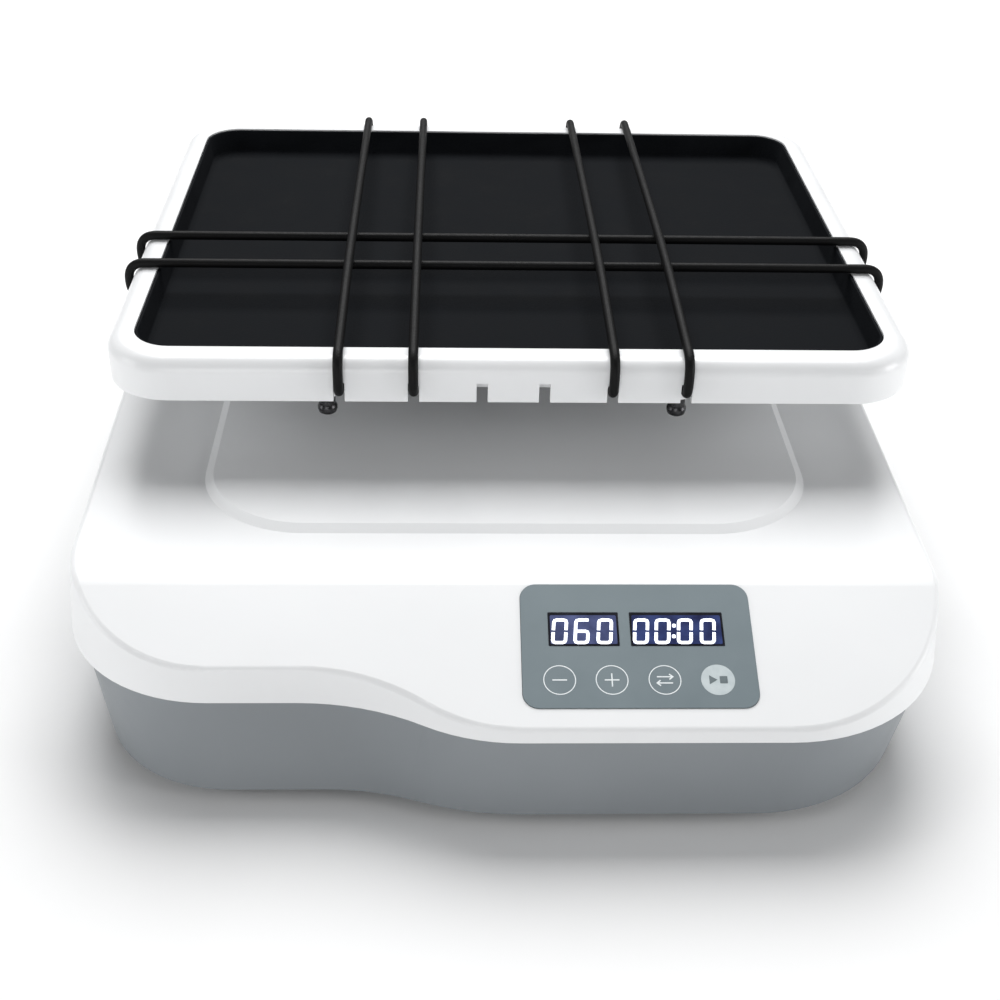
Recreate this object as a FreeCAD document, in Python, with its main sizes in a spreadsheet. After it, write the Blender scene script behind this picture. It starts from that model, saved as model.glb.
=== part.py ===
import FreeCAD, Part
import math
import os
import re

import Sketcher

# Orbital shaker. Origin: middle of the footprint on the bench. +X right, -Y front (keypad side), +Z up.
doc = FreeCAD.newDocument("orbital_shaker")
sheet = doc.addObject("Spreadsheet::Sheet", "sizes")

# Driving dimensions in millimetres and degrees, by alias.
driving = {
    # base shells
    "half_width": 157.5, "half_depth": 190.0, "parting_height": 40.0, "floor_height": 5.0,
    "shell_wall": 2.6, "side_draft": 6.0, "deck_height": 67.2, "lip_inset_side": 3.3,
    "lip_inset_front": 1.5, "lip_inset_rear": 0.9,
    "slope_angle": 22.06, "slope_front_y": -189.1, "slope_front_z": 45.37, "slope_blend": 20.0,
    "rim_round": 2.2,
    "plateau_left": -111.0, "plateau_right": 117.0, "plateau_front": -110.0, "plateau_back": 178.0,
    "plateau_corner": 40.0, "plateau_rise": 2.3, "plateau_bevel": 3.2,
    # keypad
    "panel_left": 5.6, "panel_width": 78.5, "panel_low": 7.4, "panel_height": 47.0,
    "panel_corner": 5.5, "panel_thick": 1.8, "panel_sink": 1.4, "panel_ledge": 3.5, "gasket_thick": 0.3,
    # orbit
    "axis_y": 57.75, "throw": 5.0,
    "idler_side_x": 85.0, "idler_side_y": 20.0, "idler_rear_y": 140.0,
    "shaft_radius": 7.5, "web_height": 74.0, "web_thick": 8.0, "disc_radius": 22.0,
    "pin_radius": 5.0, "weight_radius": 50.0, "weight_thick": 10.0,
    "idler_shaft": 4.0, "idler_web": 14.0,
    # platform
    "tray_width": 305.0, "tray_depth": 253.0, "tray_corner": 25.0, "tray_top": 114.4,
    "skirt_height": 16.5, "tray_round": 5.5, "recess_width": 285.0, "recess_depth": 230.0,
    "recess_corner": 15.0, "tray_floor_top": 102.3, "tray_floor": 3.0, "tray_wall": 2.5,
    "mat_floor": 1.6, "mat_wall": 1.2, "mat_draft": 1.0, "mat_lip": 0.5,
    "slot_width": 4.2, "slot_height": 7.7, "slot_near": 11.6, "slot_mid": 37.0, "slot_far": 64.5,
    "side_slot_near": 19.5, "side_slot_far": 47.0,
    "carrier_half_x": 108.0, "carrier_half_y": 92.0, "carrier_thick": 4.0,
    "cord_radius": 1.85, "cord_gap": 0.1, "stud_x": 66.5, "stud_shift": -3.4, "stud_y": 115.0,
    # drive
    "chassis_half": 109.0, "chassis_front": -8.0, "chassis_back": 163.0, "chassis_thick": 3.0,
    "motor_x": 70.0, "motor_y": 112.0, "motor_radius": 28.0,
    "pulley_radius": 40.0, "pinion_radius": 10.0, "pulley_low": 51.0, "pulley_thick": 8.0,
    "belt_gap": 0.3, "belt_thick": 1.5,
}
for row, (alias, number) in enumerate(driving.items(), start=1):
    sheet.set("A%d" % row, alias)
    sheet.set("B%d" % row, str(number))
    sheet.setAlias("B%d" % row, alias)
doc.recompute()

parts = []


def size(alias):
    return float(sheet.get(alias))


def linked(text):
    # turns bare aliases in a formula into references to the sheet
    return re.sub(r"[a-z_]{3,}", lambda word: "sizes." + word.group(0) if word.group(0) in driving
                  else word.group(0), str(text))


def bind(thing, **formulas):
    for name, formula in formulas.items():
        thing.setExpression(name, linked(formula))
    return thing


def place(thing, x=0, y=0, z=0):
    for axis, formula in (("x", x), ("y", y), ("z", z)):
        thing.setExpression("Placement.Base." + axis, linked(formula))
    return thing


def finish(thing, label):
    thing.Label = label
    parts.append(thing)
    return thing


def cylinder(radius, height, x=0, y=0, z=0):
    return place(bind(doc.addObject("Part::Cylinder", "Cylinder"), Radius=radius, Height=height), x, y, z)


def box(length, width, height, x=0, y=0, z=0):
    # x and y are the box's middle, z its underside
    thing = bind(doc.addObject("Part::Box", "Box"), Length=length, Width=width, Height=height)
    return place(thing, "(%s) - (%s) / 2" % (x, length), "(%s) - (%s) / 2" % (y, width), z)


def fuse(*things):
    union = doc.addObject("Part::MultiFuse", "Fuse")
    union.Shapes = list(things)
    union.Refine = True
    return union


def cut(base, *tools):
    difference = doc.addObject("Part::Cut", "Cut")
    difference.Base = base
    difference.Tool = tools[0] if len(tools) == 1 else group(*tools)
    return difference


def group(*things):
    bundle = doc.addObject("Part::Compound", "Group")
    bundle.Links = list(things)
    return bundle


def computed(shape, label):
    thing = doc.addObject("Part::Feature", label)
    thing.Shape = shape
    return finish(thing, label)


def rounded_box(length, width, height, corner, x=0, y=0, z=0):
    inner_x = "(%s) - 2 * (%s)" % (length, corner)
    inner_y = "(%s) - 2 * (%s)" % (width, corner)
    pieces = [box(length, inner_y, height, x, y, z), box(inner_x, width, height, x, y, z)]
    for sign_x in ("+", "-"):
        for sign_y in ("+", "-"):
            corner_x = "(%s) %s ((%s) / 2 - (%s))" % (x, sign_x, length, corner)
            corner_y = "(%s) %s ((%s) / 2 - (%s))" % (y, sign_y, width, corner)
            pieces.append(cylinder(corner, height, corner_x, corner_y, z))
    return fuse(*pieces)


def turned(profile, x=0, y=0, z=0):
    # a body revolved about its own Z axis from corner points (radius, height) given as formulas
    body = doc.addObject("PartDesign::Body", "Turned")
    sketch = body.newObject("Sketcher::SketchObject", "Profile")
    plane = next(item for item in body.Origin.OriginFeatures if item.Role == "XZ_Plane")
    sketch.AttachmentSupport = [(plane, "")]
    sketch.MapMode = "FlatFace"
    corners = [(sheet_value(radius), sheet_value(height)) for radius, height in profile]
    count = len(corners)
    for index, (radius, height) in enumerate(corners):
        ahead = corners[(index + 1) % count]
        sketch.addGeometry(Part.LineSegment(FreeCAD.Vector(radius, height, 0),
                                            FreeCAD.Vector(ahead[0], ahead[1], 0)))
    for index, (radius, height) in enumerate(corners):
        sketch.addConstraint(Sketcher.Constraint("Coincident", index, 2, (index + 1) % count, 1))
    for index, (radius, height) in enumerate(corners):
        for kind, number, formula, axis in (("DistanceX", radius, profile[index][0], -2),
                                            ("DistanceY", height, profile[index][1], -1)):
            if abs(number) < 1e-9:
                sketch.addConstraint(Sketcher.Constraint("PointOnObject", index, 1, axis))
                continue
            mark = sketch.addConstraint(Sketcher.Constraint(kind, -1, 1, index, 1, number))
            sketch.setExpression("Constraints[%d]" % mark, linked(formula))
    turn = body.newObject("PartDesign::Revolution", "Turn")
    turn.Profile = sketch
    turn.ReferenceAxis = (sketch, ["V_Axis"])
    turn.Angle = 360
    return place(body, x, y, z)


def sheet_value(formula):
    # the number that a formula of aliases stands for
    text = re.sub(r"[a-z_]{3,}", lambda word: repr(size(word.group(0))), str(formula))
    total = 0.0
    for sign, term in re.findall(r"([+-]?)\s*([^+-]+)", text):
        product = 1.0
        for factor in term.split("*"):
            product *= float(factor)
        total += -product if sign == "-" else product
    return total


def ring(outer, inner, height, x=0, y=0, z=0):
    return turned([(inner, 0), (outer, 0), (outer, height), (inner, height)], x, y, z)


# ---------------------------------------------------------------- outlines of the base

def ramp(degrees):
    return math.tan(math.radians(degrees))


def footprint(level):
    # corners (x, y, radius, bulge) of the base's plan outline, anticlockwise from the rear left;
    # bulge is -1 at the one corner that is hollow
    half, back = size("half_width"), size("half_depth")
    if level == "rim":
        return [(-half, back, 38.0, 1), (-half, 40.0, 900.0, 1), (-half + 4.0, -170.2, 55.0, 1),
                (-46.8, -170.2, 85.0, -1), (-12.0, -back, 64.0, 1), (half - 3.0, -back, 61.0, 1),
                (half, 40.0, 900.0, 1), (half, back, 38.0, 1)]
    if level == "lip":
        # where the housing meets the cover, set in under its edge, most of all at the sides
        side, front, rear = (size(name) for name in ("lip_inset_side", "lip_inset_front", "lip_inset_rear"))
        return [(-half + side, back - rear, 36.0, 1), (-half + side, 40.0, 900.0, 1),
                (-half + 4.0 + side, -170.2 + front, 53.0, 1), (-46.4, -170.2 + front, 86.5, -1),
                (-11.6, -back + front, 62.5, 1), (half - 3.0 - side, -back + front, 58.0, 1),
                (half - side, 40.0, 900.0, 1), (half - side, back - rear, 36.0, 1)]
    return [(-half + 11.5, back - 4.0, 34.0, 1), (-half + 12.2, 40.0, 900.0, 1), (-half + 16.0, -175.3, 48.0, 1),
            (-47.0, -175.3, 90.0, -1), (-10.3, -187.5, 92.0, 1), (half - 12.0, -187.5, 60.0, 1),
            (half - 8.5, 40.0, 900.0, 1), (half - 8.0, back - 4.0, 34.0, 1)]


def inset_corners(corners, inset):
    # moves each side of the outline inwards and keeps the arcs concentric
    count = len(corners)
    lines = []
    for index in range(count):
        start, end = corners[index], corners[(index + 1) % count]
        run = FreeCAD.Vector(end[0] - start[0], end[1] - start[1], 0).normalize()
        inward = FreeCAD.Vector(-run.y, run.x, 0)
        lines.append((FreeCAD.Vector(start[0], start[1], 0) + inward * inset, run))
    moved = []
    for index in range(count):
        (before, run_in), (after, run_out) = lines[index - 1], lines[index]
        gap = after - before
        turn = run_in.x * run_out.y - run_in.y * run_out.x
        along = (gap.x * run_out.y - gap.y * run_out.x) / turn
        meet = before + run_in * along
        radius, bulge = corners[index][2], corners[index][3]
        moved.append((meet.x, meet.y, radius - inset * bulge, bulge))
    return moved


def rounded_wire(corners, height):
    # closed wire of straight sides joined by tangent arcs
    count = len(corners)
    bends = []
    for index in range(count):
        here = FreeCAD.Vector(corners[index][0], corners[index][1], height)
        back = FreeCAD.Vector(corners[index - 1][0], corners[index - 1][1], height) - here
        ahead = FreeCAD.Vector(*corners[(index + 1) % count][:2], height) - here
        back.normalize()
        ahead.normalize()
        half_angle = back.getAngle(ahead) / 2
        radius = corners[index][2]
        middle_way = (back + ahead).normalize()
        reach = radius / math.tan(half_angle)
        depth = radius / math.sin(half_angle) - radius
        bends.append((here + back * reach, here + middle_way * depth, here + ahead * reach))
    edges = []
    for index in range(count):
        edges.append(Part.Arc(*bends[index]).toShape())
        edges.append(Part.LineSegment(bends[index][2], bends[(index + 1) % count][0]).toShape())
    return Part.Wire(edges)


def tapered(lower, upper, low, high):
    return Part.makeLoft([rounded_wire(lower, low), rounded_wire(upper, high)], True, True)


def rectangle(left, right, front, back, corner):
    return [(left, back, corner, 1), (left, front, corner, 1), (right, front, corner, 1), (right, back, corner, 1)]


def rod(radius, height, x, y, z):
    return Part.makeCylinder(radius, height, FreeCAD.Vector(x, y, z))


# ---------------------------------------------------------------- base shells

axis = (0.0, size("axis_y"))
idler_places = {
    "left": (-size("idler_side_x"), size("idler_side_y")),
    "right": (size("idler_side_x"), size("idler_side_y")),
    "rear": (0.0, size("idler_rear_y")),
}
foot_places = [(-112.0, -128.0), (118.0, -138.0), (-118.0, 148.0), (118.0, 148.0)]
chassis_screw_places = [(side * 101.0, y) for side in (-1, 1) for y in (-2.0, 75.0, 155.0)]
case_screw_places = [(-126.0, -100.0), (128.0, -100.0), (-134.0, 40.0), (134.0, 40.0), (-106.0, 172.0),
                     (30.0, 176.0), (100.0, -164.0), (-70.0, -161.5)]
niche = {"left": 54.0, "right": 136.0, "low": 9.0, "high": 37.0, "face": 183.0}
boss_radius = 4.8
case_pilot = 2.05


def make_base_housing():
    wall = size("shell_wall")
    floor, top = size("floor_height"), size("parting_height")
    lip = footprint("lip")
    outer = tapered(footprint("floor"), lip, floor, top)
    inner = tapered(inset_corners(footprint("floor"), wall), inset_corners(lip, wall), floor, top)
    keep = Part.makeBox(500, 500, 200, FreeCAD.Vector(-250, -250, floor + wall))
    shell = outer.cut(inner.common(keep))
    width, height = niche["right"] - niche["left"], niche["high"] - niche["low"]
    corner = FreeCAD.Vector(niche["left"], niche["face"] - 2 * wall, niche["low"])
    surround = Part.makeBox(width, 30, height, corner).common(outer)
    hollow = Part.makeBox(width - 2 * wall, 40, height - 2 * wall,
                          FreeCAD.Vector(niche["left"] + wall, niche["face"], niche["low"] + wall))
    shell = shell.fuse(surround).cut(hollow)
    solids = [rod(boss_radius, top - floor - 0.2, x, y, floor) for x, y in case_screw_places]
    solids += [rod(boss_radius, 10, x, y, floor) for x, y in foot_places]
    shell = shell.fuse(solids)
    holes = [rod(2.2, 60, x, y, 0) for x, y in case_screw_places]
    holes += [rod(4.2, 4, x, y, floor - 0.5) for x, y in case_screw_places]
    holes += [rod(2.05, 8.5, x, y, floor) for x, y in foot_places]
    holes += [rod(2.05, 20, x, y, floor + 1.0) for x, y in chassis_screw_places]
    socket_x, switch_x = niche["left"] + 24, niche["right"] - 22
    middle = (niche["low"] + niche["high"]) / 2
    holes.append(Part.makeCylinder(6.2, 20, FreeCAD.Vector(socket_x, 170, middle), FreeCAD.Vector(0, 1, 0)))
    holes.append(Part.makeBox(19.4, 20, 13.2, FreeCAD.Vector(switch_x - 9.7, 170, middle - 6.6)))
    shell = shell.cut(holes).removeSplitter()
    return computed(shell, "base_housing")


def cover_block(inset, drop):
    # the cover's outside, or its cavity when inset and dropped by the wall
    height = 90.0 - size("parting_height")
    rim = inset_corners(footprint("rim"), inset)
    crown = inset_corners(rim, height * ramp(size("side_draft")))
    block = tapered(rim, crown, size("parting_height"), 90.0)
    rise = ramp(size("slope_angle"))
    fall = drop / math.cos(math.radians(size("slope_angle")))
    start_y = -205.0
    start_z = size("slope_front_z") + (start_y - size("slope_front_y")) * rise - fall
    deck = size("deck_height") - drop
    knee_y = start_y + (deck - start_z) / rise
    reach = size("slope_blend") * math.tan(math.radians(size("slope_angle")) / 2)
    along = FreeCAD.Vector(0, math.cos(math.radians(size("slope_angle"))), math.sin(math.radians(size("slope_angle"))))
    knee = FreeCAD.Vector(-200, knee_y, deck)
    first, last = knee - along * reach, knee + FreeCAD.Vector(0, reach, 0)
    centre = last - FreeCAD.Vector(0, 0, size("slope_blend"))
    middle = centre + (knee - centre).normalize() * size("slope_blend")
    points = [FreeCAD.Vector(-200, start_y, start_z), first, last, FreeCAD.Vector(-200, 230, deck),
              FreeCAD.Vector(-200, 230, 10), FreeCAD.Vector(-200, start_y, 10)]
    edges = [Part.LineSegment(points[0], points[1]).toShape(), Part.Arc(first, middle, last).toShape()]
    edges += [Part.LineSegment(points[index], points[(index + 1) % 6]).toShape() for index in range(2, 6)]
    profile = Part.Face(Part.Wire(edges)).extrude(FreeCAD.Vector(400, 0, 0))
    return block.common(profile)


def plateau_block(inset, drop):
    foot = rectangle(size("plateau_left") + inset, size("plateau_right") - inset,
                     size("plateau_front") + inset, size("plateau_back") - inset, size("plateau_corner") - inset)
    base = size("deck_height") - drop
    step = tapered(foot, inset_corners(foot, size("plateau_bevel")), base, base + size("plateau_rise"))
    skirt = Part.Face(rounded_wire(foot, base)).extrude(FreeCAD.Vector(0, 0, -1.0))
    return step.fuse(skirt)


def on_slope(shape):
    # moves a shape drawn flat, x across and y up the slope, on to the sloping front
    shape.Placement = FreeCAD.Placement(
        FreeCAD.Vector(0, size("slope_front_y"), size("slope_front_z")),
        FreeCAD.Rotation(FreeCAD.Vector(1, 0, 0), size("slope_angle")))
    return shape


def panel_plate(inset, low, high):
    left, front = size("panel_left") + inset, size("panel_low") + inset
    right = size("panel_left") + size("panel_width") - inset
    back = size("panel_low") + size("panel_height") - inset
    corner = max(size("panel_corner") - inset, 1.0)
    face = Part.Face(rounded_wire(rectangle(left, right, front, back, corner), low))
    return on_slope(face.extrude(FreeCAD.Vector(0, 0, high - low)))


def make_top_cover():
    wall = size("shell_wall")
    outer = cover_block(0.0, 0.0)
    rim_edges = [edge for edge in outer.Edges if edge.BoundBox.ZMin > size("parting_height") + 2.0
                 and min(face.normalAt(0, 0).z for face in outer.ancestorsOfType(edge, Part.Face)) < 0.5
                 and max(face.normalAt(0, 0).z for face in outer.ancestorsOfType(edge, Part.Face)) > 0.7]
    outer = outer.makeFillet(size("rim_round"), rim_edges)
    solid = outer.fuse(plateau_block(0.0, 0.0))
    cavity = cover_block(wall, wall).fuse(plateau_block(wall, wall))
    under = size("parting_height")
    bosses = [rod(boss_radius, 40, x, y, under).common(solid) for x, y in case_screw_places]
    shell = solid.cut(cavity).fuse(bosses)
    holes = [rod(case_pilot, 15, x, y, under - 1) for x, y in case_screw_places]
    holes.append(rod(size("shaft_radius") + 1.5, 40, axis[0], axis[1], under))
    holes += [rod(size("idler_shaft") + 2.0, 40, x, y, under) for x, y in idler_places.values()]
    holes.append(panel_plate(-0.15, -size("panel_sink") - size("gasket_thick"), 5.0))
    holes.append(panel_plate(size("panel_ledge"), -12.0, 5.0))
    return computed(shell.cut(holes), "top_cover")


def make_case_fixings():
    screws = [fuse(cylinder(3.9, 2.4, x, y, "floor_height + 0.9"), cylinder(1.95, 44, x, y, "floor_height + 3"))
              for x, y in case_screw_places]
    finish(group(*screws), "cover_screws")
    feet = []
    for x, y in foot_places:
        pad = turned([(4.6, 0), (10.2, 0), (11.0, 0.8), (11.0, 4.9), (2.2, 4.9), (2.2, 2.5), (4.6, 2.5)], x, y)
        feet.append(pad)
    finish(group(*feet), "rubber_feet")
    screws = [fuse(cylinder(3.8, 1.4, x, y, 1.0), cylinder(1.95, 11.0, x, y, 2.2)) for x, y in foot_places]
    finish(group(*screws), "foot_screws")
    screws = [fuse(cylinder(3.6, 2.2, x, y, "floor_height + shell_wall + chassis_thick + 0.05"),
                   cylinder(1.95, 7.0, x, y, "floor_height + 1.6")) for x, y in chassis_screw_places]
    finish(group(*screws), "chassis_screws")


# ---------------------------------------------------------------- drive in the base

deck = "floor_height + shell_wall + chassis_thick"
deck_z = size("floor_height") + size("shell_wall") + size("chassis_thick")
motor = (size("motor_x"), size("motor_y"))
bearing_screw_places = [(axis[0] + 31 * math.cos(turn), axis[1] + 31 * math.sin(turn))
                        for turn in (math.radians(45 + 90 * step) for step in range(4))]
idler_screw_places = [(x, y + offset) for x, y in idler_places.values() for offset in (-18.3, 18.3)]
bracket_foot_places = [(motor[0] + x, motor[1] + y) for x in (-12, 12) for y in (-40, 40)]
motor_screw_places = [(motor[0] + x, motor[1] + y) for x in (-14, 14) for y in (-14, 14)]


def make_chassis():
    depth = "(chassis_back - chassis_front)"
    plate = rounded_box("2 * chassis_half", depth, "chassis_thick", 8, 0,
                        "(chassis_back + chassis_front) / 2", "floor_height + shell_wall")
    holes = [cylinder(2.05, 20, x, y, 0) for x, y in chassis_screw_places + bearing_screw_places
             + idler_screw_places + bracket_foot_places]
    finish(cut(plate, *holes), "chassis_plate")


def make_bearing_housings():
    block = turned([(17.5, 0), (38, 0), (38, 5), (24, 5), (24, 39.4), (17.5, 39.4), (17.5, 27.9), (15, 27.9),
                    (15, 12.4), (17.5, 12.4)], axis[0], "axis_y", deck)
    holes = [cylinder(2.05, 20, x, y, deck) for x, y in bearing_screw_places]
    finish(cut(block, *holes), "main_bearing_housing")
    rings = [ring(17.5, 12.65, 11, 0, "axis_y", "%s + 1.4" % deck), ring(17.5, 12.65, 11, 0, "axis_y", "%s + 27.9" % deck)]
    for name, (x, y) in idler_places.items():
        post = turned([(0, 0), (22, 0), (22, 4), (14.5, 4), (14.5, 51.4), (11, 51.4), (11, 27.9), (6, 27.9),
                       (6, 20), (0, 20)], x, y, deck)
        holes = [cylinder(1.6, 20, x, y + offset, deck) for offset in (-18.3, 18.3)]
        finish(cut(post, *holes), "idler_housing_" + name)
        rings += [ring(11, 7.65, 7, x, y, "%s + 27.9" % deck), ring(11, 7.65, 7, x, y, "%s + 43.4" % deck)]
    finish(group(*rings), "base_bearing_outer_rings")
    screws = [fuse(cylinder(3.8, 3.6, x, y, "%s + 5.05" % deck), cylinder(1.95, 8.2, x, y, "%s - 2.8" % deck))
              for x, y in bearing_screw_places]
    screws += [fuse(cylinder(2.6, 2.4, x, y, "%s + 4.05" % deck), cylinder(1.5, 7, x, y, "%s - 2.8" % deck))
               for x, y in idler_screw_places]
    finish(group(*screws), "housing_screws")


def make_motor():
    can = turned([(0, 0), (26.5, 0), (28, 1.5), (28, 32), (11, 32), (11, 35), (3.4, 35), (3.4, 4), (0, 4)],
                 "motor_x", "motor_y", 14)
    finish(cut(can, *[cylinder(1.55, 10, x, y, 38) for x, y in motor_screw_places]), "motor_body")
    top = rounded_box(68, 68, 3, 6, "motor_x", "motor_y", 46)
    legs = [box(50, 4, "46.5 - (%s)" % deck, "motor_x", "motor_y + (%d)" % (32 * side), deck) for side in (-1, 1)]
    feet = [box(50, 14, 2.4, "motor_x", "motor_y + (%d)" % (39 * side), deck) for side in (-1, 1)]
    holes = [cylinder(11.1, 10, "motor_x", "motor_y", 43)]
    holes += [cylinder(1.6, 10, x, y, 43) for x, y in motor_screw_places]
    holes += [cylinder(2.05, 10, x, y, deck) for x, y in bracket_foot_places]
    finish(cut(fuse(top, *legs, *feet), *holes), "motor_bracket")
    screws = [fuse(cylinder(2.7, 1.7, x, y, 49.05), cylinder(1.5, 9.6, x, y, 39.5)) for x, y in motor_screw_places]
    screws += [fuse(cylinder(3.6, 2.2, x, y, "%s + 2.45" % deck), cylinder(1.95, 5.2, x, y, "%s - 2.7" % deck))
               for x, y in bracket_foot_places]
    finish(group(*screws), "motor_screws")
    finish(turned([(0, 0), (3, 0), (3, 41), (0, 41)], "motor_x", "motor_y", 19), "motor_shaft")


def make_pulleys():
    low = "pulley_low"
    for label, radius, rim, bore, x, y in (("driven_pulley", "pulley_radius", 2.5, "shaft_radius", 0, "axis_y"),
                                           ("motor_pulley", "pinion_radius", 2.3, 3, "motor_x", "motor_y")):
        edge = "%s + %s" % (radius, rim)
        wheel = turned([(bore, 0), (edge, 0), (edge, 0.6), (radius, 0.6), (radius, "0.6 + pulley_thick"),
                        (edge, "0.6 + pulley_thick"), (edge, "1.2 + pulley_thick"), (bore, "1.2 + pulley_thick")],
                       x, y, low + " - 0.6")
        if label == "driven_pulley":
            holes = [cylinder(7.5, 20, 26 * math.cos(turn), axis[1] + 26 * math.sin(turn), 45)
                     for turn in (math.radians(60 * step) for step in range(6))]
            wheel = cut(wheel, *holes)
        finish(wheel, label)


def belt_loop(extra, low, high):
    # prism around both pulleys, each grown by the same amount
    big, small = size("pulley_radius") + extra, size("pinion_radius") + extra
    run = math.hypot(motor[0] - axis[0], motor[1] - axis[1])
    heading = math.atan2(motor[1] - axis[1], motor[0] - axis[0])
    spread = math.acos((big - small) / run)
    points = []
    for centre, radius in ((axis, big), (motor, small)):
        for turn in (spread, 0 if radius is small else math.pi, -spread):
            points.append(FreeCAD.Vector(centre[0] + radius * math.cos(heading + turn),
                                         centre[1] + radius * math.sin(heading + turn), low))
    upper_big, far_big, lower_big, upper_small, far_small, lower_small = points
    edges = [Part.Arc(upper_big, far_big, lower_big).toShape(), Part.LineSegment(lower_big, lower_small).toShape(),
             Part.Arc(lower_small, far_small, upper_small).toShape(),
             Part.LineSegment(upper_small, upper_big).toShape()]
    return Part.Face(Part.Wire(edges)).extrude(FreeCAD.Vector(0, 0, high - low))


def make_belt():
    low, high = size("pulley_low") + 0.5, size("pulley_low") + size("pulley_thick") - 0.5
    gap = size("belt_gap")
    belt = belt_loop(gap + size("belt_thick"), low, high).cut(belt_loop(gap, low - 1, high + 1))
    computed(belt, "drive_belt")


# ---------------------------------------------------------------- cranks

def make_crankshaft():
    axle = turned([(0, 12), ("shaft_radius", 12), ("shaft_radius", "web_height"), ("disc_radius", "web_height"),
                   ("disc_radius", "web_height + web_thick"), (0, "web_height + web_thick")], 0, "axis_y", 0)
    pin = cylinder("pin_radius", 12.95, "throw", "axis_y", "web_height + web_thick")
    shoulder = cylinder(7.2, 4.0, "throw", "axis_y", "web_height + web_thick")
    tapped = cylinder(2.05, 10, "throw", "axis_y", 85.5)
    finish(cut(fuse(axle, pin, shoulder), tapped, *weight_screw_holes()), "crankshaft")
    inner = [ring(12.35, "shaft_radius", 11, 0, "axis_y", "%s + 1.4" % deck),
             ring(12.35, "shaft_radius", 11, 0, "axis_y", "%s + 27.9" % deck),
             ring(9.85, "pin_radius", 9, "throw", "axis_y", 86)]
    finish(group(*inner), "crank_bearing_inner_rings")
    washer = cylinder(7.4, 1.2, "throw", "axis_y", 95.0)
    head = cylinder(3.6, 2.1, "throw", "axis_y", 96.2)
    shank = cylinder(1.95, 9.5, "throw", "axis_y", 86.5)
    finish(fuse(washer, head, shank), "pin_retainer")


def radial_cylinder(radius, start, end, turn, z):
    # lies outward from the spin axis at the given turn about it
    thing = bind(doc.addObject("Part::Cylinder", "Cylinder"), Radius=radius, Height="%s - %s" % (end, start))
    way = FreeCAD.Vector(math.cos(math.radians(turn)), math.sin(math.radians(turn)), 0)
    origin = FreeCAD.Vector(axis[0], axis[1], z) + way * sheet_value(start)
    thing.Placement = FreeCAD.Placement(origin, FreeCAD.Rotation(FreeCAD.Vector(0, 0, 1), way))
    return thing


weight_turns = (145, 215)
weight_screw_z = 78.5


def weight_screw_holes():
    return [radial_cylinder(2.05, 13, 30, turn, weight_screw_z) for turn in weight_turns]


def make_counterweight():
    block = ring("weight_radius", "disc_radius", "weight_thick", 0, "axis_y", "web_height")
    half = box(110, 120, 30, 55, "axis_y", "web_height - 5")
    holes = [radial_cylinder(2.1, 15, 60, turn, weight_screw_z) for turn in weight_turns]
    wells = [radial_cylinder(3.8, 43, 60, turn, weight_screw_z) for turn in weight_turns]
    finish(cut(block, half, *holes, *wells), "counterweight")
    screws = [fuse(radial_cylinder(1.95, 14, 44, turn, weight_screw_z), radial_cylinder(3.5, 43.1, 46.6, turn, weight_screw_z))
              for turn in weight_turns]
    finish(group(*screws), "weight_screws")


def make_idlers():
    for name, (x, y) in idler_places.items():
        axle = turned([(0, 36), ("idler_shaft", 36), ("idler_shaft", "web_height"), ("idler_web", "web_height"),
                       ("idler_web", "web_height + web_thick"), (0, "web_height + web_thick")], x, y, 0)
        shoulder = cylinder(5.8, 5.0, "%s + throw" % x, y, "web_height + web_thick")
        pin = cylinder("idler_shaft", 12.7, "%s + throw" % x, y, "web_height + web_thick")
        finish(fuse(axle, shoulder, pin), "idler_crank_" + name)
        inner = [ring(7.35, "idler_shaft", 7, x, y, "%s + 27.9" % deck), ring(7.35, "idler_shaft", 7, x, y, "%s + 43.4" % deck),
                 ring(7.35, "idler_shaft", 7, "%s + throw" % x, y, 87.3)]
        finish(group(*inner), "idler_inner_rings_" + name)


def make_shaft_seals():
    seat = "deck_height + plateau_rise"
    seals = [ring(12.5, 8.6, 3.4, 0, "axis_y", seat)]
    seals += [ring(9.5, 5.0, 3.4, x, y, seat) for x, y in idler_places.values()]
    finish(group(*seals), "shaft_seals")


# ---------------------------------------------------------------- platform

plate_low = "tray_floor_top - tray_floor - carrier_thick"
tray_screw_offsets = [(x, y) for x in (-95, 95) for y in (-78, 0, 78)]
hub_screw_offsets = [(28 * math.cos(turn), 28 * math.sin(turn))
                     for turn in (math.radians(45 + 90 * step) for step in range(4))]
for place_x, place_y in idler_places.values():
    for step in range(3):
        turn = math.radians(90 + 120 * step)
        hub_screw_offsets.append((place_x + 18.6 * math.cos(turn), place_y - axis[1] + 18.6 * math.sin(turn)))
stud_offsets = [(side * size("stud_x") + size("stud_shift"), end * size("stud_y")) for side in (-1, 1) for end in (-1, 1)]


def on_platform(offset_x, offset_y):
    return "throw + (%s)" % offset_x, "axis_y + (%s)" % offset_y


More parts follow.
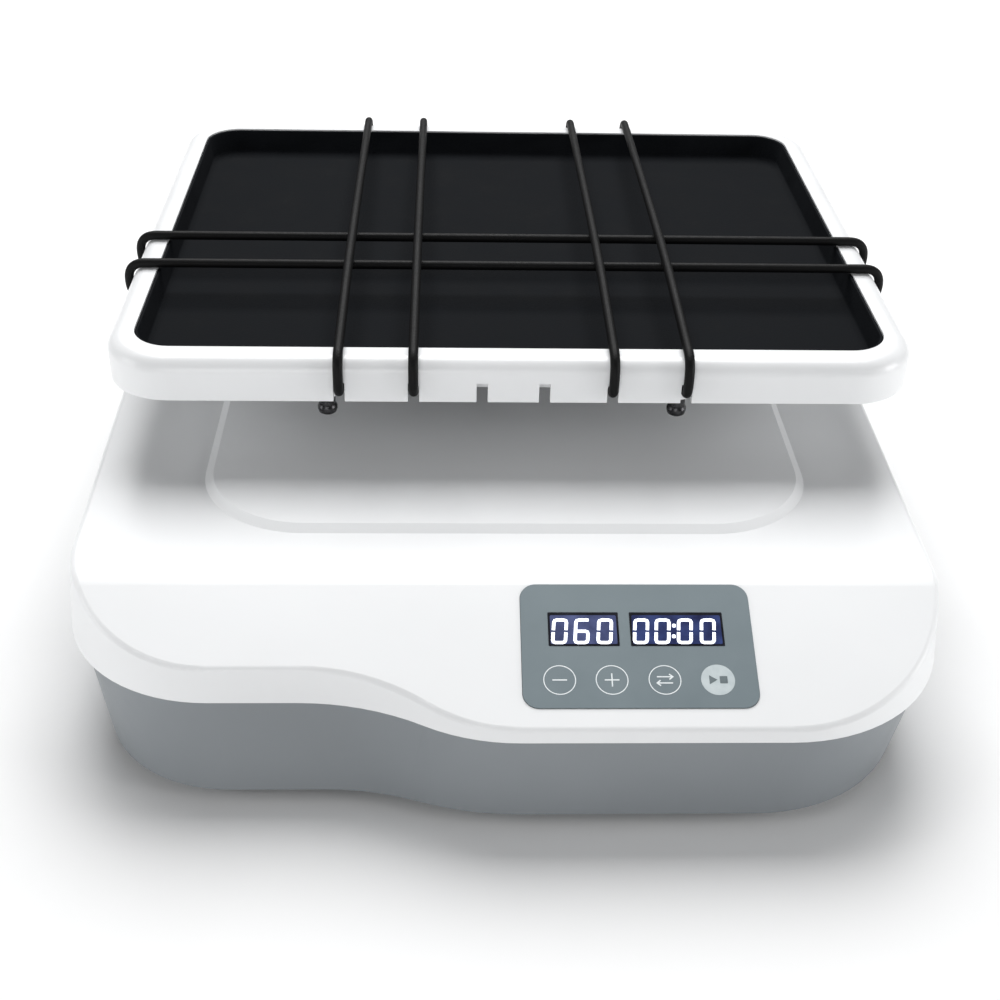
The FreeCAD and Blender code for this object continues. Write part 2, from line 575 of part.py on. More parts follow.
def make_carrier():
    plate = rounded_box("2 * carrier_half_x", "2 * carrier_half_y", "carrier_thick", 12, "throw", "axis_y", plate_low)
    holes = [cylinder(10.5, 10, "throw", "axis_y", plate_low + " - 2")]
    holes += [cylinder(2.05, 10, *on_platform(x, y), plate_low + " - 2") for x, y in tray_screw_offsets]
    holes += [cylinder(1.6, 10, *on_platform(x, y), plate_low + " - 2") for x, y in hub_screw_offsets]
    finish(cut(plate, *holes), "carrier_plate")
    hub = turned([(15, 0), (22, 0), (22, 6), (34, 6), (34, 10), (15, 10)], "throw", "axis_y", plate_low + " - 10")
    holes = [cylinder(1.6, 20, *on_platform(x, y), plate_low + " - 12") for x, y in hub_screw_offsets[:4]]
    finish(cut(hub, *holes), "main_hub")
    hubs = []
    rings = [ring(15, 10.15, 9, "throw", "axis_y", plate_low + " - 9.3")]
    for index, (x, y) in enumerate(idler_places.values()):
        offset = (x, y - axis[1])
        hub = turned([(11, 0), (15, 0), (15, 6), (22, 6), (22, 9), (9.5, 9), (9.5, 8), (11, 8)],
                     *on_platform(*offset), plate_low + " - 9")
        near = hub_screw_offsets[4 + 3 * index:7 + 3 * index]
        hubs.append(cut(hub, *[cylinder(1.6, 20, *on_platform(*spot), plate_low + " - 12") for spot in near]))
        rings.append(ring(11, 7.65, 7, *on_platform(*offset), plate_low + " - 8"))
    finish(group(*hubs), "idler_hubs")
    finish(group(*rings), "platform_bearing_outer_rings")
    screws = []
    for index, (x, y) in enumerate(hub_screw_offsets):
        flange = 4 if index < 4 else 3
        head = cylinder(2.7, 2.0, *on_platform(x, y), "%s - %s" % (plate_low, flange + 2.05))
        shank = cylinder(1.5, flange + 3.8, *on_platform(x, y), "%s - %s" % (plate_low, flange + 0.05))
        screws.append(fuse(head, shank))
    finish(group(*screws), "hub_screws")


def make_tray():
    low = "tray_top - skirt_height"
    shell = rounded_box("tray_width", "tray_depth", "skirt_height", "tray_corner", "throw", "axis_y", low)
    doc.recompute()
    top = size("tray_top")
    rounds = doc.addObject("Part::Fillet", "RoundedRim")
    rounds.Base = shell
    rounds.Edges = [(index, size("tray_round"), size("tray_round"))
                    for index, edge in enumerate(shell.Shape.Edges, start=1)
                    if abs(edge.BoundBox.ZMin - top) < 0.01 and abs(edge.BoundBox.ZMax - top) < 0.01]
    recess = rounded_box("recess_width", "recess_depth", 30, "recess_corner", "throw", "axis_y", "tray_floor_top")
    under = rounded_box("tray_width - 2 * tray_wall", "tray_depth - 2 * tray_wall", "skirt_height - tray_wall",
                        "tray_corner - tray_wall", "throw", "axis_y", low)
    core = rounded_box("recess_width + 2 * tray_wall", "recess_depth + 2 * tray_wall", 40,
                       "recess_corner + tray_wall", "throw", "axis_y", "tray_floor_top - tray_floor")
    hollow = cut(under, core)
    bosses = [cylinder(4.5, 5, *on_platform(x, y), "tray_floor_top - tray_floor - 4") for x, y in stud_offsets]
    slots = []
    for side in (-1, 1):
        for offset in ("slot_near", "slot_mid", "slot_far"):
            for end in (-1, 1):
                slots.append(box("slot_width", "tray_wall + 1", "slot_height + 1", "throw + (%d) * %s" % (side, offset),
                                 "axis_y + (%d) * (tray_depth / 2 - tray_wall / 2)" % end, low + " - 1"))
        for offset in ("side_slot_near", "side_slot_far"):
            for end in (-1, 1):
                slots.append(box("tray_wall + 1", "slot_width", "slot_height + 1",
                                 "throw + (%d) * (tray_width / 2 - tray_wall / 2)" % end,
                                 "axis_y + (%d) * %s" % (side, offset), low + " - 1"))
    holes = [cylinder(2.05, 9, *on_platform(x, y), "tray_floor_top - tray_floor - 6.5") for x, y in stud_offsets]
    holes += [cylinder(2.05, 6, *on_platform(x, y), "tray_floor_top - tray_floor - 3.5") for x, y in tray_screw_offsets]
    finish(cut(fuse(cut(rounds, recess, hollow), *bosses), *slots, *holes), "tray")
    screws = [fuse(cylinder(3.6, 2.2, *on_platform(x, y), plate_low + " - 2.25"),
                   cylinder(1.95, 6.3, *on_platform(x, y), plate_low + " - 0.05")) for x, y in tray_screw_offsets]
    finish(group(*screws), "tray_screws")
    studs = [turned([(0, 0), (2.2, 0.25), (3.4, 1.1), (3.75, 2.3), (3.75, 3.4), (3.35, 4.3), (3.1, 4.7), (3.1, 8.6),
                     (2.8, 8.8), (1.95, 8.8), (1.95, 15.2), (0, 15.2)],
                    *on_platform(x, y), 86.4) for x, y in stud_offsets]
    finish(group(*studs), "cord_studs")


def make_mat():
    low, lip = size("tray_floor_top") + 0.05, size("tray_top") - size("mat_lip")
    floor = low + size("mat_floor")
    half_x, half_y = size("recess_width") / 2 - 0.1, size("recess_depth") / 2 - 0.1
    sides = rectangle(size("throw") - half_x, size("throw") + half_x, axis[1] - half_y, axis[1] + half_y,
                      size("recess_corner") - 0.1)
    block = Part.Face(rounded_wire(sides, low)).extrude(FreeCAD.Vector(0, 0, lip - low))
    wall = size("mat_wall")
    dish = tapered(inset_corners(sides, wall + size("mat_draft")), inset_corners(sides, wall), floor, lip + 0.001)
    computed(block.cut(dish), "tray_mat")


# ---------------------------------------------------------------- elastic cords and wiring

def tube(route, radius, bends, closed):
    # straight runs joined by tangent arcs, one solid; bends gives each point's arc radius
    points = [FreeCAD.Vector(*point) for point in route]
    count = len(points)
    circle = Part.Face(Part.Wire(Part.makeCircle(radius)))
    joints = {}
    for index in range(count):
        if not closed and index in (0, count - 1):
            joints[index] = (points[index], points[index], None)
            continue
        here = points[index]
        back = (points[index - 1] - here).normalize()
        ahead = (points[(index + 1) % count] - here).normalize()
        half_turn = (math.pi - back.getAngle(ahead)) / 2
        bend = bends[index] or 0.45 * min((points[index - 1] - here).Length,
                                          (points[(index + 1) % count] - here).Length) / math.tan(half_turn)
        reach = bend * math.tan(half_turn)
        hub = here + (back + ahead).normalize() * (bend / math.cos(half_turn))
        joints[index] = (here + back * reach, here + ahead * reach, (hub, back, ahead, 2 * half_turn, bend))
    solids = []
    total = 0.0
    for index in range(count if closed else count - 1):
        start, end = joints[index][1], joints[(index + 1) % count][0]
        run = end - start
        total += run.Length
        solids.append(Part.makeCylinder(radius, run.Length, start, run))
    for start, end, arc in joints.values():
        if arc is None:
            continue
        hub, back, ahead, turn, bend = arc
        total += bend * turn
        section = circle.copy()
        section.Placement = FreeCAD.Placement(start, FreeCAD.Rotation(FreeCAD.Vector(0, 0, 1), back))
        solids.append(section.revolve(hub, back.cross(ahead) * -1, math.degrees(turn)))
    shape = solids[0].fuse(solids[1:]).removeSplitter()
    drift = shape.Volume / (math.pi * radius * radius * total) - 1
    if len(shape.Solids) != 1 or abs(drift) > 0.01:
        raise ValueError("tube came out as %d solids, volume off by %.3f" % (len(shape.Solids), drift))
    return shape.Solids[0]


def cord_heights():
    radius, gap = size("cord_radius"), size("cord_gap")
    return size("tray_top") + radius + gap, size("tray_top") - size("skirt_height") + radius * 2


def hoop(first, second, reach, tuck, along_x, over):
    # closed elastic loop: out over the rim at one slot, across, down, along inside the rim and back
    rim, inside = cord_heights()
    bend = size("tray_round") + size("cord_radius") + size("cord_gap")
    tight = 3.4
    crossing = []
    if over:
        lift = 2 * size("cord_radius") + 0.2
        crossing = [(-size("side_slot_far") - 12, rim + lift, 70.0), (-size("side_slot_near") + 12, rim + lift, 70.0)]
    steps = [(-tuck, inside, tight), (-reach, inside, tight), (-reach, rim, bend), *crossing,
             (reach, rim, bend), (reach, inside, tight), (tuck, inside, tight)]
    route, bends = [], []
    for side, stations in ((first, steps), (second, steps[::-1])):
        for station, height, radius in stations:
            spot = (station, side) if along_x else (side, station)
            route.append((size("throw") + spot[0], axis[1] + spot[1], height))
            bends.append(radius)
    return tube(route, size("cord_radius"), bends, True)


def make_cords():
    outside = size("cord_radius") + size("cord_gap")
    reach, tuck = size("tray_depth") / 2 + outside, size("tray_depth") / 2 - 5.6
    for label, side in (("elastic_cord_left", -1), ("elastic_cord_right", 1)):
        computed(hoop(side * size("slot_far"), side * size("slot_mid"), reach, tuck, False, True), label)
    reach, tuck = size("tray_width") / 2 + outside, size("tray_width") / 2 - 5.0
    computed(hoop(-size("side_slot_far"), -size("side_slot_near"), reach, tuck, True, False), "elastic_cord_cross")


def make_wiring():
    motor_lead = [(41.2, 112, 22), (33, 108, 22), (34, 80, 22), (44, 45, 22), (42, 0, 22), (30, -50, 22),
                  (12, -92, 21), (-2.9, -112, 21)]
    keypad_lead = [(20, -156.2, 44.4), (16, -149, 36), (7, -138, 26), (-2.9, -128, 21)]
    power_lead = [(114, 170.4, 23), (113, 158, 20), (112, 120, 18), (113, 60, 18), (112, 0, 18), (98, -60, 18),
                  (55, -100, 18), (20, -116, 20), (-2.9, -120, 21)]
    switch_lead = [(78, 170.9, 23), (84, 165, 23), (98, 165, 23), (106, 169.9, 23)]
    leads = [tube(route, 1.3, [0] * len(route), False) for route in (motor_lead, keypad_lead, power_lead, switch_lead)]
    computed(Part.makeCompound(leads), "internal_wiring")


# ---------------------------------------------------------------- keypad and electronics

def flat_box(left, right, front, back, low, high):
    return on_slope(Part.makeBox(right - left, back - front, high - low, FreeCAD.Vector(left, front, low)))


def upright(radius, x, y, low, high):
    return on_slope(Part.makeCylinder(radius, high - low, FreeCAD.Vector(x, y, low)))


def make_keypad():
    sink, thick = size("panel_sink"), size("panel_thick")
    computed(panel_plate(0.0, -sink, thick - sink), "control_panel")
    seal = panel_plate(0.2, -sink - size("gasket_thick"), -sink)
    computed(seal.cut(panel_plate(size("panel_ledge"), -6.0, 2.0)), "panel_gasket")
    board_top, wall = -10.4, size("shell_wall")
    left, low = size("panel_left"), size("panel_low")
    right, high = left + size("panel_width"), low + size("panel_height")
    board = flat_box(left - 6, right + 6, low - 4.5, high + 4.5, board_top - 1.6, board_top)
    post_places = [(left - 2.2, low - 0.5), (right + 2.2, low - 0.5), (left - 2.2, high - 1.2), (right + 2.2, high - 1.2)]
    computed(board, "display_board")
    computed(Part.makeCompound([upright(2.0, x, y, board_top, -wall - 0.05) for x, y in post_places]), "display_standoffs")
    under_glass = -sink - 0.2
    windows = [(left + 9.2, left + 33.2), (left + 37.0, left + 68.8)]
    modules = [flat_box(start, end, low + 22.9, low + 35.9, board_top, under_glass) for start, end in windows]
    computed(Part.makeCompound(modules), "display_modules")
    keys = [left + 12.4, left + 29.8, left + 47.4, left + 65.1]
    springs = [upright(5.0, x, low + 10.2, board_top, under_glass) for x in keys]
    bores = [upright(3.6, x, low + 10.2, board_top - 0.1, under_glass + 0.1) for x in keys]
    computed(Part.makeCompound([spring.cut(bore) for spring, bore in zip(springs, bores)]), "touch_springs")


def make_control_board():
    centre_x, centre_y, low = -52.0, -120.0, 16.0
    posts = [(centre_x + x, centre_y + y) for x in (-43, 43) for y in (-25, 25)]
    board = box(96, 60, 1.6, centre_x, centre_y, low)
    finish(cut(board, *[cylinder(1.5, 5, x, y, low - 1) for x, y in posts]), "control_board")
    floor = "floor_height + shell_wall"
    standoffs = [cut(cylinder(3, "%s - (%s)" % (low, floor), x, y, floor), cylinder(1.45, 20, x, y, floor + " + 1"))
                 for x, y in posts]
    finish(group(*standoffs), "board_standoffs")
    screws = [fuse(cylinder(2.6, 1.6, x, y, low + 1.65), cylinder(1.35, 8, x, y, low - 6.3)) for x, y in posts]
    finish(group(*screws), "board_screws")
    top = low + 1.6
    fins = [box(2, 22, 12, centre_x - 24 + 4 * step, centre_y + 12, top + 3) for step in range(8)]
    sink = fuse(box(30, 22, 3.2, centre_x - 10, centre_y + 12, top), *fins)
    cans = [cylinder(5.5, 16, centre_x + 12 + 12.5 * step, centre_y - 18, top) for step in range(2)]
    chips = [box(12, 12, 1.8, centre_x - 20, centre_y - 14, top), box(8, 6, 1.6, centre_x - 2, centre_y - 14, top)]
    finish(group(sink, *cans, *chips, box(8, 34, 7, -8, centre_y, top)), "board_components")


# ---------------------------------------------------------------- rear power entry

socket_x, switch_x = niche["left"] + 24, niche["right"] - 22
entry_z = (niche["low"] + niche["high"]) / 2


def along_y(radius, start, end, x, z):
    return Part.makeCylinder(radius, end - start, FreeCAD.Vector(x, start, z), FreeCAD.Vector(0, 1, 0))


def make_power_entry():
    face = niche["face"]
    inside = face - 2 * size("shell_wall")
    barrel = along_y(6.1, face - 11, face, socket_x, entry_z).fuse(along_y(8.2, face, face + 1.6, socket_x, entry_z))
    bore = along_y(2.9, face - 8, face + 3, socket_x, entry_z).cut(along_y(1.05, face - 9, face + 0.4, socket_x, entry_z))
    computed(barrel.cut(bore), "power_inlet")
    corners = [FreeCAD.Vector(socket_x + 9.2 * math.cos(turn), inside - 3, entry_z + 9.2 * math.sin(turn))
               for turn in (math.radians(60 * step) for step in range(7))]
    nut = Part.Face(Part.makePolygon(corners)).extrude(FreeCAD.Vector(0, 2.95, 0))
    computed(nut.cut(along_y(6.15, inside - 5, inside + 1, socket_x, entry_z)), "inlet_nut")

    def block(half_x, half_z, start, end):
        return Part.makeBox(2 * half_x, end - start, 2 * half_z,
                            FreeCAD.Vector(switch_x - half_x, start, entry_z - half_z))

    case = block(9.6, 6.5, face - 12, face).fuse(block(10.8, 7.6, face, face + 1.5))
    pivot_y = face - 4.5
    pivot_hole = Part.makeCylinder(1.5, 12.4, FreeCAD.Vector(switch_x, pivot_y, entry_z - 6.2))
    computed(case.cut([block(8.4, 5.2, face - 9.5, face + 3), pivot_hole]), "switch_housing")
    outline = [(-7.0, 6.8), (0.0, 5.0), (7.0, 6.8), (6.6, -0.8), (2.6, -3.4), (-2.6, -3.4), (-6.6, -0.8)]
    corners = [FreeCAD.Vector(switch_x + x, pivot_y + y, entry_z - 4.9) for x, y in outline]
    key = Part.Face(Part.makePolygon(corners + corners[:1])).extrude(FreeCAD.Vector(0, 0, 9.8))
    key = key.fuse(Part.makeCylinder(1.2, 11.8, FreeCAD.Vector(switch_x, pivot_y, entry_z - 5.9)))
    key.rotate(FreeCAD.Vector(switch_x, pivot_y, entry_z), FreeCAD.Vector(0, 0, 1), -8)
    computed(key, "power_rocker")


def check_and_write():
    doc.recompute()
    for thing in doc.Objects:
        if "Invalid" in thing.State or "Error" in thing.State:
            raise ValueError("%s (%s) failed: %s" % (thing.Name, thing.Label, thing.State))
    os.makedirs("parts", exist_ok=True)
    for part in parts:
        if part.Shape.isNull() or not part.Shape.isValid():
            raise ValueError(part.Label + " has no valid shape")
        part.Shape.exportStep("parts/%s.step" % part.Label)
        print("%-32s %2d solids %9.0f mm3" % (part.Label, len(part.Shape.Solids), part.Shape.Volume))
    print(len(parts), "sub-parts")


make_base_housing()
make_top_cover()
make_case_fixings()
make_chassis()
make_bearing_housings()
make_motor()
make_pulleys()
make_belt()
make_crankshaft()
make_counterweight()
make_idlers()
make_shaft_seals()
make_carrier()
make_tray()
make_mat()
make_cords()
make_wiring()
make_keypad()
make_control_board()
make_power_entry()
check_and_write()
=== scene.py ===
import math

import bmesh
import bpy
from mathutils import Matrix, Vector


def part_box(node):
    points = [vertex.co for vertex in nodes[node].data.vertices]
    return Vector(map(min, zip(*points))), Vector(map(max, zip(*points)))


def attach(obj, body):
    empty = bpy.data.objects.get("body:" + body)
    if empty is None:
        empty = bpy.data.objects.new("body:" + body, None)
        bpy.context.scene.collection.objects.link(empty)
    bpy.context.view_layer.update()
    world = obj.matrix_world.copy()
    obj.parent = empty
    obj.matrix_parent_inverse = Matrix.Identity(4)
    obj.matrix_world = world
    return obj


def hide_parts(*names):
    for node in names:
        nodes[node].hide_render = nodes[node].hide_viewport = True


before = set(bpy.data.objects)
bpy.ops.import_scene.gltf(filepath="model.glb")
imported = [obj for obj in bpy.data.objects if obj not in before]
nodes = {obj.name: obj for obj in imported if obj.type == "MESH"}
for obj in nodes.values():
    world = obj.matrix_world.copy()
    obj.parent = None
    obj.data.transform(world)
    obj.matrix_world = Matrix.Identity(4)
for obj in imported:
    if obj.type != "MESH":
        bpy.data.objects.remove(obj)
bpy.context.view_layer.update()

scene = bpy.context.scene
mm = 0.001

# Camera

cameraSet = {
    "lens": 53.33,
    "sensor": 36.0,
    "place": (-0.01907, -0.54619, 0.37399),
    "pitchDown": 33.794,
    "turnRight": 2.413,
    "roll": 1.522,
}


def addCamera(spec):
    data = bpy.data.cameras.new("mainCamera")
    data.lens = spec["lens"]
    data.sensor_width = spec["sensor"]
    data.clip_start = 0.01
    data.clip_end = 20.0
    camera = bpy.data.objects.new("mainCamera", data)
    scene.collection.objects.link(camera)
    pitch, turn, roll = (math.radians(spec[key]) for key in ("pitchDown", "turnRight", "roll"))
    forward = Vector((math.sin(turn) * math.cos(pitch), math.cos(turn) * math.cos(pitch), -math.sin(pitch)))
    side = Vector((math.cos(turn), -math.sin(turn), 0.0))
    down = forward.cross(side)
    right = side * math.cos(roll) - down * math.sin(roll)
    up = -(side * math.sin(roll) + down * math.cos(roll))
    facing = Matrix((right, up, -forward)).transposed().to_4x4()
    camera.matrix_world = Matrix.Translation(Vector(spec["place"])) @ facing
    scene.camera = camera


addCamera(cameraSet)
print("camera set")

# Materials

# depth that a full bump stands for, in metres
relief = {"peel": 0.0002, "skin": 0.00012, "grit": 0.00015, "cloud": 0.0001}


def blankMaterial(name):
    made = bpy.data.materials.new(name)
    made.use_nodes = True
    tree = made.node_tree
    shader = tree.nodes["Principled BSDF"]
    place = tree.nodes.new("ShaderNodeTexCoord")
    return made, tree, shader, place.outputs["Object"]


def addNoise(tree, source, scale, detail=3.0, rough=0.5, stretch=None):
    if stretch:
        mapping = tree.nodes.new("ShaderNodeMapping")
        mapping.inputs["Scale"].default_value = stretch
        tree.links.new(source, mapping.inputs["Vector"])
        source = mapping.outputs["Vector"]
    noise = tree.nodes.new("ShaderNodeTexNoise")
    noise.inputs["Scale"].default_value = scale
    noise.inputs["Detail"].default_value = detail
    noise.inputs["Roughness"].default_value = rough
    tree.links.new(source, noise.inputs["Vector"])
    return noise.outputs["Fac"]


def addRange(tree, value, low, high, fromLow=0.3, fromHigh=0.7):
    remap = tree.nodes.new("ShaderNodeMapRange")
    remap.inputs["From Min"].default_value = fromLow
    remap.inputs["From Max"].default_value = fromHigh
    remap.inputs["To Min"].default_value = low
    remap.inputs["To Max"].default_value = high
    tree.links.new(value, remap.inputs["Value"])
    return remap.outputs["Result"]


def addBlend(tree, value, first, second):
    mix = tree.nodes.new("ShaderNodeMix")
    mix.data_type = "RGBA"
    for socket, colour in (("A_Color", first), ("B_Color", second)):
        target = next(entry for entry in mix.inputs if entry.identifier == socket)
        if isinstance(colour, tuple):
            target.default_value = (*colour, 1.0)
        else:
            tree.links.new(colour, target)
    tree.links.new(value, next(entry for entry in mix.inputs if entry.identifier == "Factor_Float"))
    return next(entry for entry in mix.outputs if entry.identifier == "Result_Color")


def addBump(tree, height, shader, strength, distance, under=None):
    bump = tree.nodes.new("ShaderNodeBump")
    bump.inputs["Strength"].default_value = strength
    bump.inputs["Distance"].default_value = distance
    tree.links.new(height, bump.inputs["Height"])
    if under:
        tree.links.new(under, bump.inputs["Normal"])
    tree.links.new(bump.outputs["Normal"], shader.inputs["Normal"])
    return bump.outputs["Normal"]


def shade(tone):
    # display tone 0..255 to a linear value
    part = tone / 255.0
    return part / 12.92 if part <= 0.04045 else ((part + 0.055) / 1.055) ** 2.4


def tint(red, green, blue):
    return tuple(shade(tone) for tone in (red, green, blue))


def mouldedPlastic(name, spec):
    # injection moulded case plastic: faint cloudiness, polish that varies, a very fine skin
    made, tree, shader, place = blankMaterial(name)
    cloud = addNoise(tree, place, spec["cloudScale"], detail=4.0)
    tree.links.new(addBlend(tree, addRange(tree, cloud, 0.0, 1.0), spec["dark"], spec["light"]),
                   shader.inputs["Base Color"])
    polish = addNoise(tree, place, spec["polishScale"], detail=2.0)
    tree.links.new(addRange(tree, polish, *spec["roughness"]), shader.inputs["Roughness"])
    peel = addNoise(tree, place, spec["peelScale"], detail=1.0)
    skin = addNoise(tree, place, spec["skinScale"], detail=2.0, rough=0.6)
    lower = addBump(tree, peel, shader, spec["peel"], relief["peel"])
    addBump(tree, skin, shader, spec["skin"], relief["skin"], lower)
    shader.inputs["IOR"].default_value = spec["ior"]
    shader.inputs["Coat Weight"].default_value = spec["coat"]
    shader.inputs["Coat Roughness"].default_value = spec["coatRoughness"]
    return made


def softRubber(name, spec):
    # matt rubber or foam: dusty patches over a fine cell grain
    made, tree, shader, place = blankMaterial(name)
    dust = addNoise(tree, place, spec["dustScale"], detail=5.0, rough=0.65)
    patches = addRange(tree, dust, 0.0, 1.0, fromLow=0.35, fromHigh=0.75)
    tree.links.new(addBlend(tree, patches, spec["dark"], spec["light"]), shader.inputs["Base Color"])
    tree.links.new(addRange(tree, dust, *spec["roughness"]), shader.inputs["Roughness"])
    cells = tree.nodes.new("ShaderNodeTexVoronoi")
    cells.inputs["Scale"].default_value = spec["grainScale"]
    tree.links.new(place, cells.inputs["Vector"])
    addBump(tree, cells.outputs["Distance"], shader, spec["grain"], relief["peel"])
    shader.inputs["Sheen Weight"].default_value = spec["sheen"]
    shader.inputs["Sheen Roughness"].default_value = 0.45
    shader.inputs["Specular IOR Level"].default_value = spec.get("gloss", 0.5)
    return made


def bareMetal(name, spec):
    # plated, ground or cast metal: smeared tone and polish over a fine grit
    made, tree, shader, place = blankMaterial(name)
    smear = addNoise(tree, place, spec["smearScale"], rough=0.6, stretch=spec.get("stretch"))
    tree.links.new(addBlend(tree, addRange(tree, smear, 0.0, 1.0), spec["dark"], spec["light"]),
                   shader.inputs["Base Color"])
    tree.links.new(addRange(tree, smear, *spec["roughness"]), shader.inputs["Roughness"])
    grit = addNoise(tree, place, spec["gritScale"], rough=0.7)
    addBump(tree, grit, shader, spec["grit"], relief["grit"])
    shader.inputs["Metallic"].default_value = 1.0
    return made


whiteSpec = {
    "dark": tint(235, 236, 237), "light": tint(240, 241, 242), "cloudScale": 9.0,
    "polishScale": 40.0, "roughness": (0.34, 0.44), "skinScale": 2600.0, "skin": 0.10,
    "peelScale": 240.0, "peel": 0.02, "ior": 1.5, "coat": 0.12, "coatRoughness": 0.22,
}
greySpec = dict(
    whiteSpec, dark=tint(128, 133, 137), light=tint(136, 141, 145), roughness=(0.42, 0.52),
    skin=0.22, coat=0.05, coatRoughness=0.3)
blackSpec = dict(
    whiteSpec, dark=tint(18, 18, 19), light=tint(26, 26, 28), roughness=(0.3, 0.42), skin=0.2, coat=0.1)

finishes = {
    "cover_white": mouldedPlastic("glossWhiteCover", whiteSpec),
    "tray_white": mouldedPlastic("glossWhiteTray", dict(whiteSpec, roughness=(0.28, 0.38), coat=0.2)),
    "housing_grey": mouldedPlastic("satinGreyHousing", greySpec),
    "black_plastic": mouldedPlastic("blackPolyamide", blackSpec),
    "mat_black": softRubber("matRubber", {
        "dark": tint(16, 18, 21), "light": tint(23, 25, 28), "dustScale": 60.0, "roughness": (0.72, 0.86),
        "grainScale": 1300.0, "grain": 0.35, "sheen": 0.0, "gloss": 0.05}),
    "foot_rubber": softRubber("footRubber", {
        "dark": tint(24, 24, 25), "light": tint(42, 42, 43), "dustScale": 220.0, "roughness": (0.6, 0.8),
        "grainScale": 1700.0, "grain": 0.4, "sheen": 0.12}),
    "belt_rubber": softRubber("beltRubber", {
        "dark": tint(20, 20, 20), "light": tint(34, 33, 32), "dustScale": 300.0, "roughness": (0.5, 0.7),
        "grainScale": 2400.0, "grain": 0.4, "sheen": 0.08}),
    "gasket_foam": softRubber("gasketFoam", {
        "dark": tint(60, 60, 62), "light": tint(78, 78, 80), "dustScale": 500.0, "roughness": (0.8, 0.95),
        "grainScale": 2200.0, "grain": 0.9, "sheen": 0.2}),
    "cable_black": softRubber("cableSleeve", {
        "dark": tint(22, 22, 24), "light": tint(34, 34, 36), "dustScale": 300.0, "roughness": (0.4, 0.55),
        "grainScale": 2600.0, "grain": 0.2, "sheen": 0.05}),
    "plated_steel": bareMetal("zincPlatedSteel", {
        "dark": (0.46, 0.47, 0.49), "light": (0.66, 0.67, 0.69), "smearScale": 130.0,
        "roughness": (0.22, 0.38), "gritScale": 1900.0, "grit": 0.25}),
    "dark_steel": bareMetal("blackenedSteel", {
        "dark": (0.035, 0.035, 0.038), "light": (0.085, 0.083, 0.085), "smearScale": 260.0,
        "roughness": (0.22, 0.36), "gritScale": 1700.0, "grit": 0.25}),
    "bearing_steel": bareMetal("groundSteel", {
        "dark": (0.52, 0.53, 0.55), "light": (0.70, 0.71, 0.72), "smearScale": 90.0,
        "roughness": (0.12, 0.24), "gritScale": 2600.0, "grit": 0.12, "stretch": (1.0, 1.0, 9.0)}),
    "cast_aluminium": bareMetal("castAluminium", {
        "dark": (0.50, 0.51, 0.52), "light": (0.68, 0.68, 0.68), "smearScale": 70.0,
        "roughness": (0.42, 0.6), "gritScale": 900.0, "grit": 0.55}),
    "brass_nickel": bareMetal("nickelledBrass", {
        "dark": (0.60, 0.56, 0.48), "light": (0.76, 0.72, 0.63), "smearScale": 140.0,
        "roughness": (0.2, 0.34), "gritScale": 1900.0, "grit": 0.2}),
}
print("case materials made:", len(finishes))


def panelFilm(spec):
    # printed polycarbonate overlay: a satin film over slightly mottled ink
    made, tree, shader, place = blankMaterial("overlayFilm")
    ink = addNoise(tree, place, spec["inkScale"], detail=4.0)
    tree.links.new(addBlend(tree, addRange(tree, ink, 0.0, 1.0), spec["dark"], spec["light"]),
                   shader.inputs["Base Color"])
    gloss = addNoise(tree, place, spec["glossScale"])
    tree.links.new(addRange(tree, gloss, *spec["roughness"]), shader.inputs["Roughness"])
    peel = addNoise(tree, place, spec["peelScale"], detail=2.0)
    addBump(tree, peel, shader, spec["peel"], relief["peel"])
    shader.inputs["IOR"].default_value = spec["ior"]
    shader.inputs["Specular IOR Level"].default_value = spec["gloss"]
    return made


def litPlastic(name, spec):
    # display parts: a dark or white body with its own even light
    made, tree, shader, place = blankMaterial(name)
    cloud = addNoise(tree, place, spec["cloudScale"])
    for socket, dark, light in (("Base Color", "dark", "light"), ("Emission Color", "glowDark", "glowLight")):
        tone = addBlend(tree, addRange(tree, cloud, 0.0, 1.0), spec[dark], spec[light])
        tree.links.new(tone, shader.inputs[socket])
    shader.inputs["Emission Strength"].default_value = spec["glow"]
    tree.links.new(addRange(tree, cloud, *spec["roughness"]), shader.inputs["Roughness"])
    addBump(tree, cloud, shader, 0.05, relief["cloud"])
    shader.inputs["Specular IOR Level"].default_value = spec.get("gloss", 0.5)
    return made


def braidedSleeve(spec):
    # fine braid over elastic, drawn along the cord from its own UV map
    made, tree, shader, place = blankMaterial("braidedElastic")
    sheet = tree.nodes.new("ShaderNodeUVMap")
    sheet.uv_map = "alongCord"
    waves = []
    for lean in (1.0, -1.0):
        mapping = tree.nodes.new("ShaderNodeMapping")
        mapping.inputs["Rotation"].default_value = (0.0, 0.0, lean * math.radians(spec["lean"]))
        tree.links.new(sheet.outputs["UV"], mapping.inputs["Vector"])
        wave = tree.nodes.new("ShaderNodeTexWave")
        wave.inputs["Scale"].default_value = spec["pitch"]
        wave.inputs["Distortion"].default_value = spec["unevenness"]
        tree.links.new(mapping.outputs["Vector"], wave.inputs["Vector"])
        waves.append(wave.outputs["Fac"])
    plait = tree.nodes.new("ShaderNodeMath")
    plait.operation = "MAXIMUM"
    tree.links.new(waves[0], plait.inputs[0])
    tree.links.new(waves[1], plait.inputs[1])
    strands = plait.outputs["Value"]
    tree.links.new(addBlend(tree, strands, spec["dark"], spec["light"]), shader.inputs["Base Color"])
    fuzz = addNoise(tree, place, spec["fuzzScale"])
    tree.links.new(addRange(tree, fuzz, *spec["roughness"]), shader.inputs["Roughness"])
    addBump(tree, strands, shader, spec["relief"], relief["peel"])
    shader.inputs["Sheen Weight"].default_value = spec["sheen"]
    shader.inputs["Specular IOR Level"].default_value = spec["gloss"]
    return made


